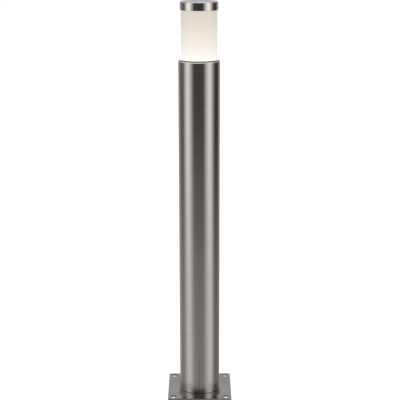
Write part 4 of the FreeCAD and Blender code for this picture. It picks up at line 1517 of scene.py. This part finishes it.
@dataclass
class Studio:
    """The pale floor, the soft light, the dark and pale screens that metal mirrors, and the camera."""

    floor_side: float = 24.0
    floor_glow: float = 0.82
    ambient: float = 0.42
    wall_radius: float = 2.6
    wall_height: float = 3.4
    screen_steps: int = 180
    post_radius: float = 0.041
    lamp_reach: float = 2.2
    lamp_height: float = 1.5
    lamp_target: float = 0.45
    lamp_power: float = 9.0
    lamp_size: Point = (1.2, 1.8)
    lens: float = 94.70
    camera_y: float = -2.054
    camera_z: float = 0.918
    pitch: float = 14.006
    yaw: float = -0.00104
    roll: float = 0.00164

    def floor(self) -> None:
        """Makes the floor, which reads as white and keeps a soft shadow."""
        half = self.floor_side / 2
        mesh = bpy.data.meshes.new("studio_floor")
        mesh.from_pydata([(-half, -half, 0), (half, -half, 0), (half, half, 0), (-half, half, 0)], [],
                         [(0, 1, 2, 3)])
        shader = Shader("studio_floor")
        glow = shader.add("Math", operation="MULTIPLY")
        shader.join(shader.seen_directly(), glow.inputs[0])
        glow.inputs[1].default_value = self.floor_glow
        shader.set(Base_Color=(0.8, 0.8, 0.8), Roughness=0.9, Specular_IOR_Level=0.0,
                   Emission_Color=(1, 1, 1), Emission_Strength=glow.outputs[0])
        mesh.materials.append(shader.material)
        linked("studio_floor", mesh)

    def world(self) -> None:
        """Sets the world: white to look at, and a plain grey that lights the object."""
        world = bpy.data.worlds.new("studio")
        world.use_nodes = True
        nodes = Nodes(world.node_tree)
        grey, white = (nodes.feed(nodes.add("Background"), Color=(1, 1, 1), Strength=strength)
                       for strength in (self.ambient, 1.0))
        mix = nodes.add("MixShader")
        for source, socket in zip((nodes.seen_directly(), grey.outputs[0], white.outputs[0]), mix.inputs):
            nodes.join(source, socket)
        nodes.feed(nodes.add("OutputWorld"), Surface=mix.outputs[0])
        bpy.context.scene.world = world

    def lamps(self) -> None:
        """Hangs a soft lamp over each side of the object."""
        for name, azimuth in (("left_soft", -35), ("right_soft", 30)):
            light = bpy.data.lights.new(name, "AREA")
            light.shape, light.energy = "RECTANGLE", self.lamp_power
            light.size, light.size_y = self.lamp_size
            lamp = linked(name, light)
            angle = math.radians(azimuth)
            place = Vector((self.lamp_reach * math.sin(angle), -self.lamp_reach * math.cos(angle),
                            self.lamp_height))
            aim = Vector((0, 0, self.lamp_target)) - place
            lamp.location, lamp.rotation_euler = place, aim.to_track_quat("-Z", "Y").to_euler()
            lamp.visible_camera = lamp.visible_glossy = False

    def screen_rings(self) -> tuple[ScreenRing, ...]:
        """Gives the rings of the screens, from the plate's edge out, up the wall and in under the roof.

        Returns:
            The rings.
        """
        side, roof = self.wall_radius, self.wall_height
        return (ScreenRing(0.0652, 0.0003, ground=1.0, hugs_plate=True), ScreenRing(0.30, 0.004, ground=1.0),
                ScreenRing(0.70, 0.004, ground=0.96), ScreenRing(1.60, 0.004, ground=0.45, wall=0.55),
                ScreenRing(side, 0.004, wall=1.0), ScreenRing(side, 0.96, wall=1.0),
                ScreenRing(side, 1.05, upper=1.0), ScreenRing(side, 2.45, upper=1.0),
                ScreenRing(side, 2.7, upper=0.5, overhead=0.35), ScreenRing(side, roof, overhead=0.66),
                ScreenRing(0.05, roof, overhead=0.85))

    def screens(self) -> None:
        """Stands screens round the object that only mirroring faces see."""
        rings, steps = self.screen_rings(), self.screen_steps
        azimuths = [-180 + 360 * step / steps for step in range(steps)]
        points = [ring.point(azimuth, self.post_radius) for ring in rings for azimuth in azimuths]
        light = [channel for ring in rings for azimuth in azimuths for channel in ring.light(azimuth)]
        faces = [(row * steps + step, row * steps + (step + 1) % steps,
                  (row + 1) * steps + (step + 1) % steps, (row + 1) * steps + step)
                 for row in range(len(rings) - 1) for step in range(steps)]
        mesh = bpy.data.meshes.new("mirror_screens")
        mesh.from_pydata(points, [], faces)
        mesh.attributes.new("light", "FLOAT_COLOR", "POINT").data.foreach_set("color", light)
        shader = Shader("mirror_screens")
        read = shader.add("Attribute", attribute_name="light")
        glow = shader.feed(shader.add("Emission"), Color=read.outputs["Color"])
        shader.feed(shader.output, Surface=glow.outputs[0])
        shader.material.cycles.emission_sampling = "NONE"
        mesh.materials.append(shader.material)
        screens = linked("mirror_screens", mesh)
        for ray in ("camera", "diffuse", "shadow", "transmission", "volume_scatter"):
            setattr(screens, "visible_" + ray, False)

    def camera(self) -> None:
        """Sets the camera."""
        data = bpy.data.cameras.new("camera")
        data.lens, data.sensor_width, data.clip_end = self.lens, 36.0, 100.0
        camera = linked("camera", data)
        camera.location = (0, self.camera_y, self.camera_z)
        camera.rotation_euler = (math.radians(90 - self.pitch), self.roll, self.yaw)
        bpy.context.scene.camera = camera

    def build(self) -> None:
        """Makes the studio."""
        self.camera()
        self.floor()
        self.world()
        self.lamps()
        self.screens()
        bpy.context.scene.view_settings.view_transform = "Standard"
        log.info("studio ready")


def write_sizes() -> None:
    """Updates the view layer."""
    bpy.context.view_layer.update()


def main() -> None:
    """Builds the light from the ground up, and then the studio round it."""
    logging.basicConfig(level=logging.INFO, format="%(name)s: %(message)s")
    Studio().build()
    shop = Workshop()
    for assembly in (FootPlate(shop), PostTube(shop), HeadSocket(shop), LampHolder(shop), Lamp(shop),
                     OpalHead(shop), PolishedCap(shop), TerminalBay(shop)):
        log.info("building %s", type(assembly).__name__)
        assembly.build()
    write_sizes()


if __name__ == "__main__":
    main()
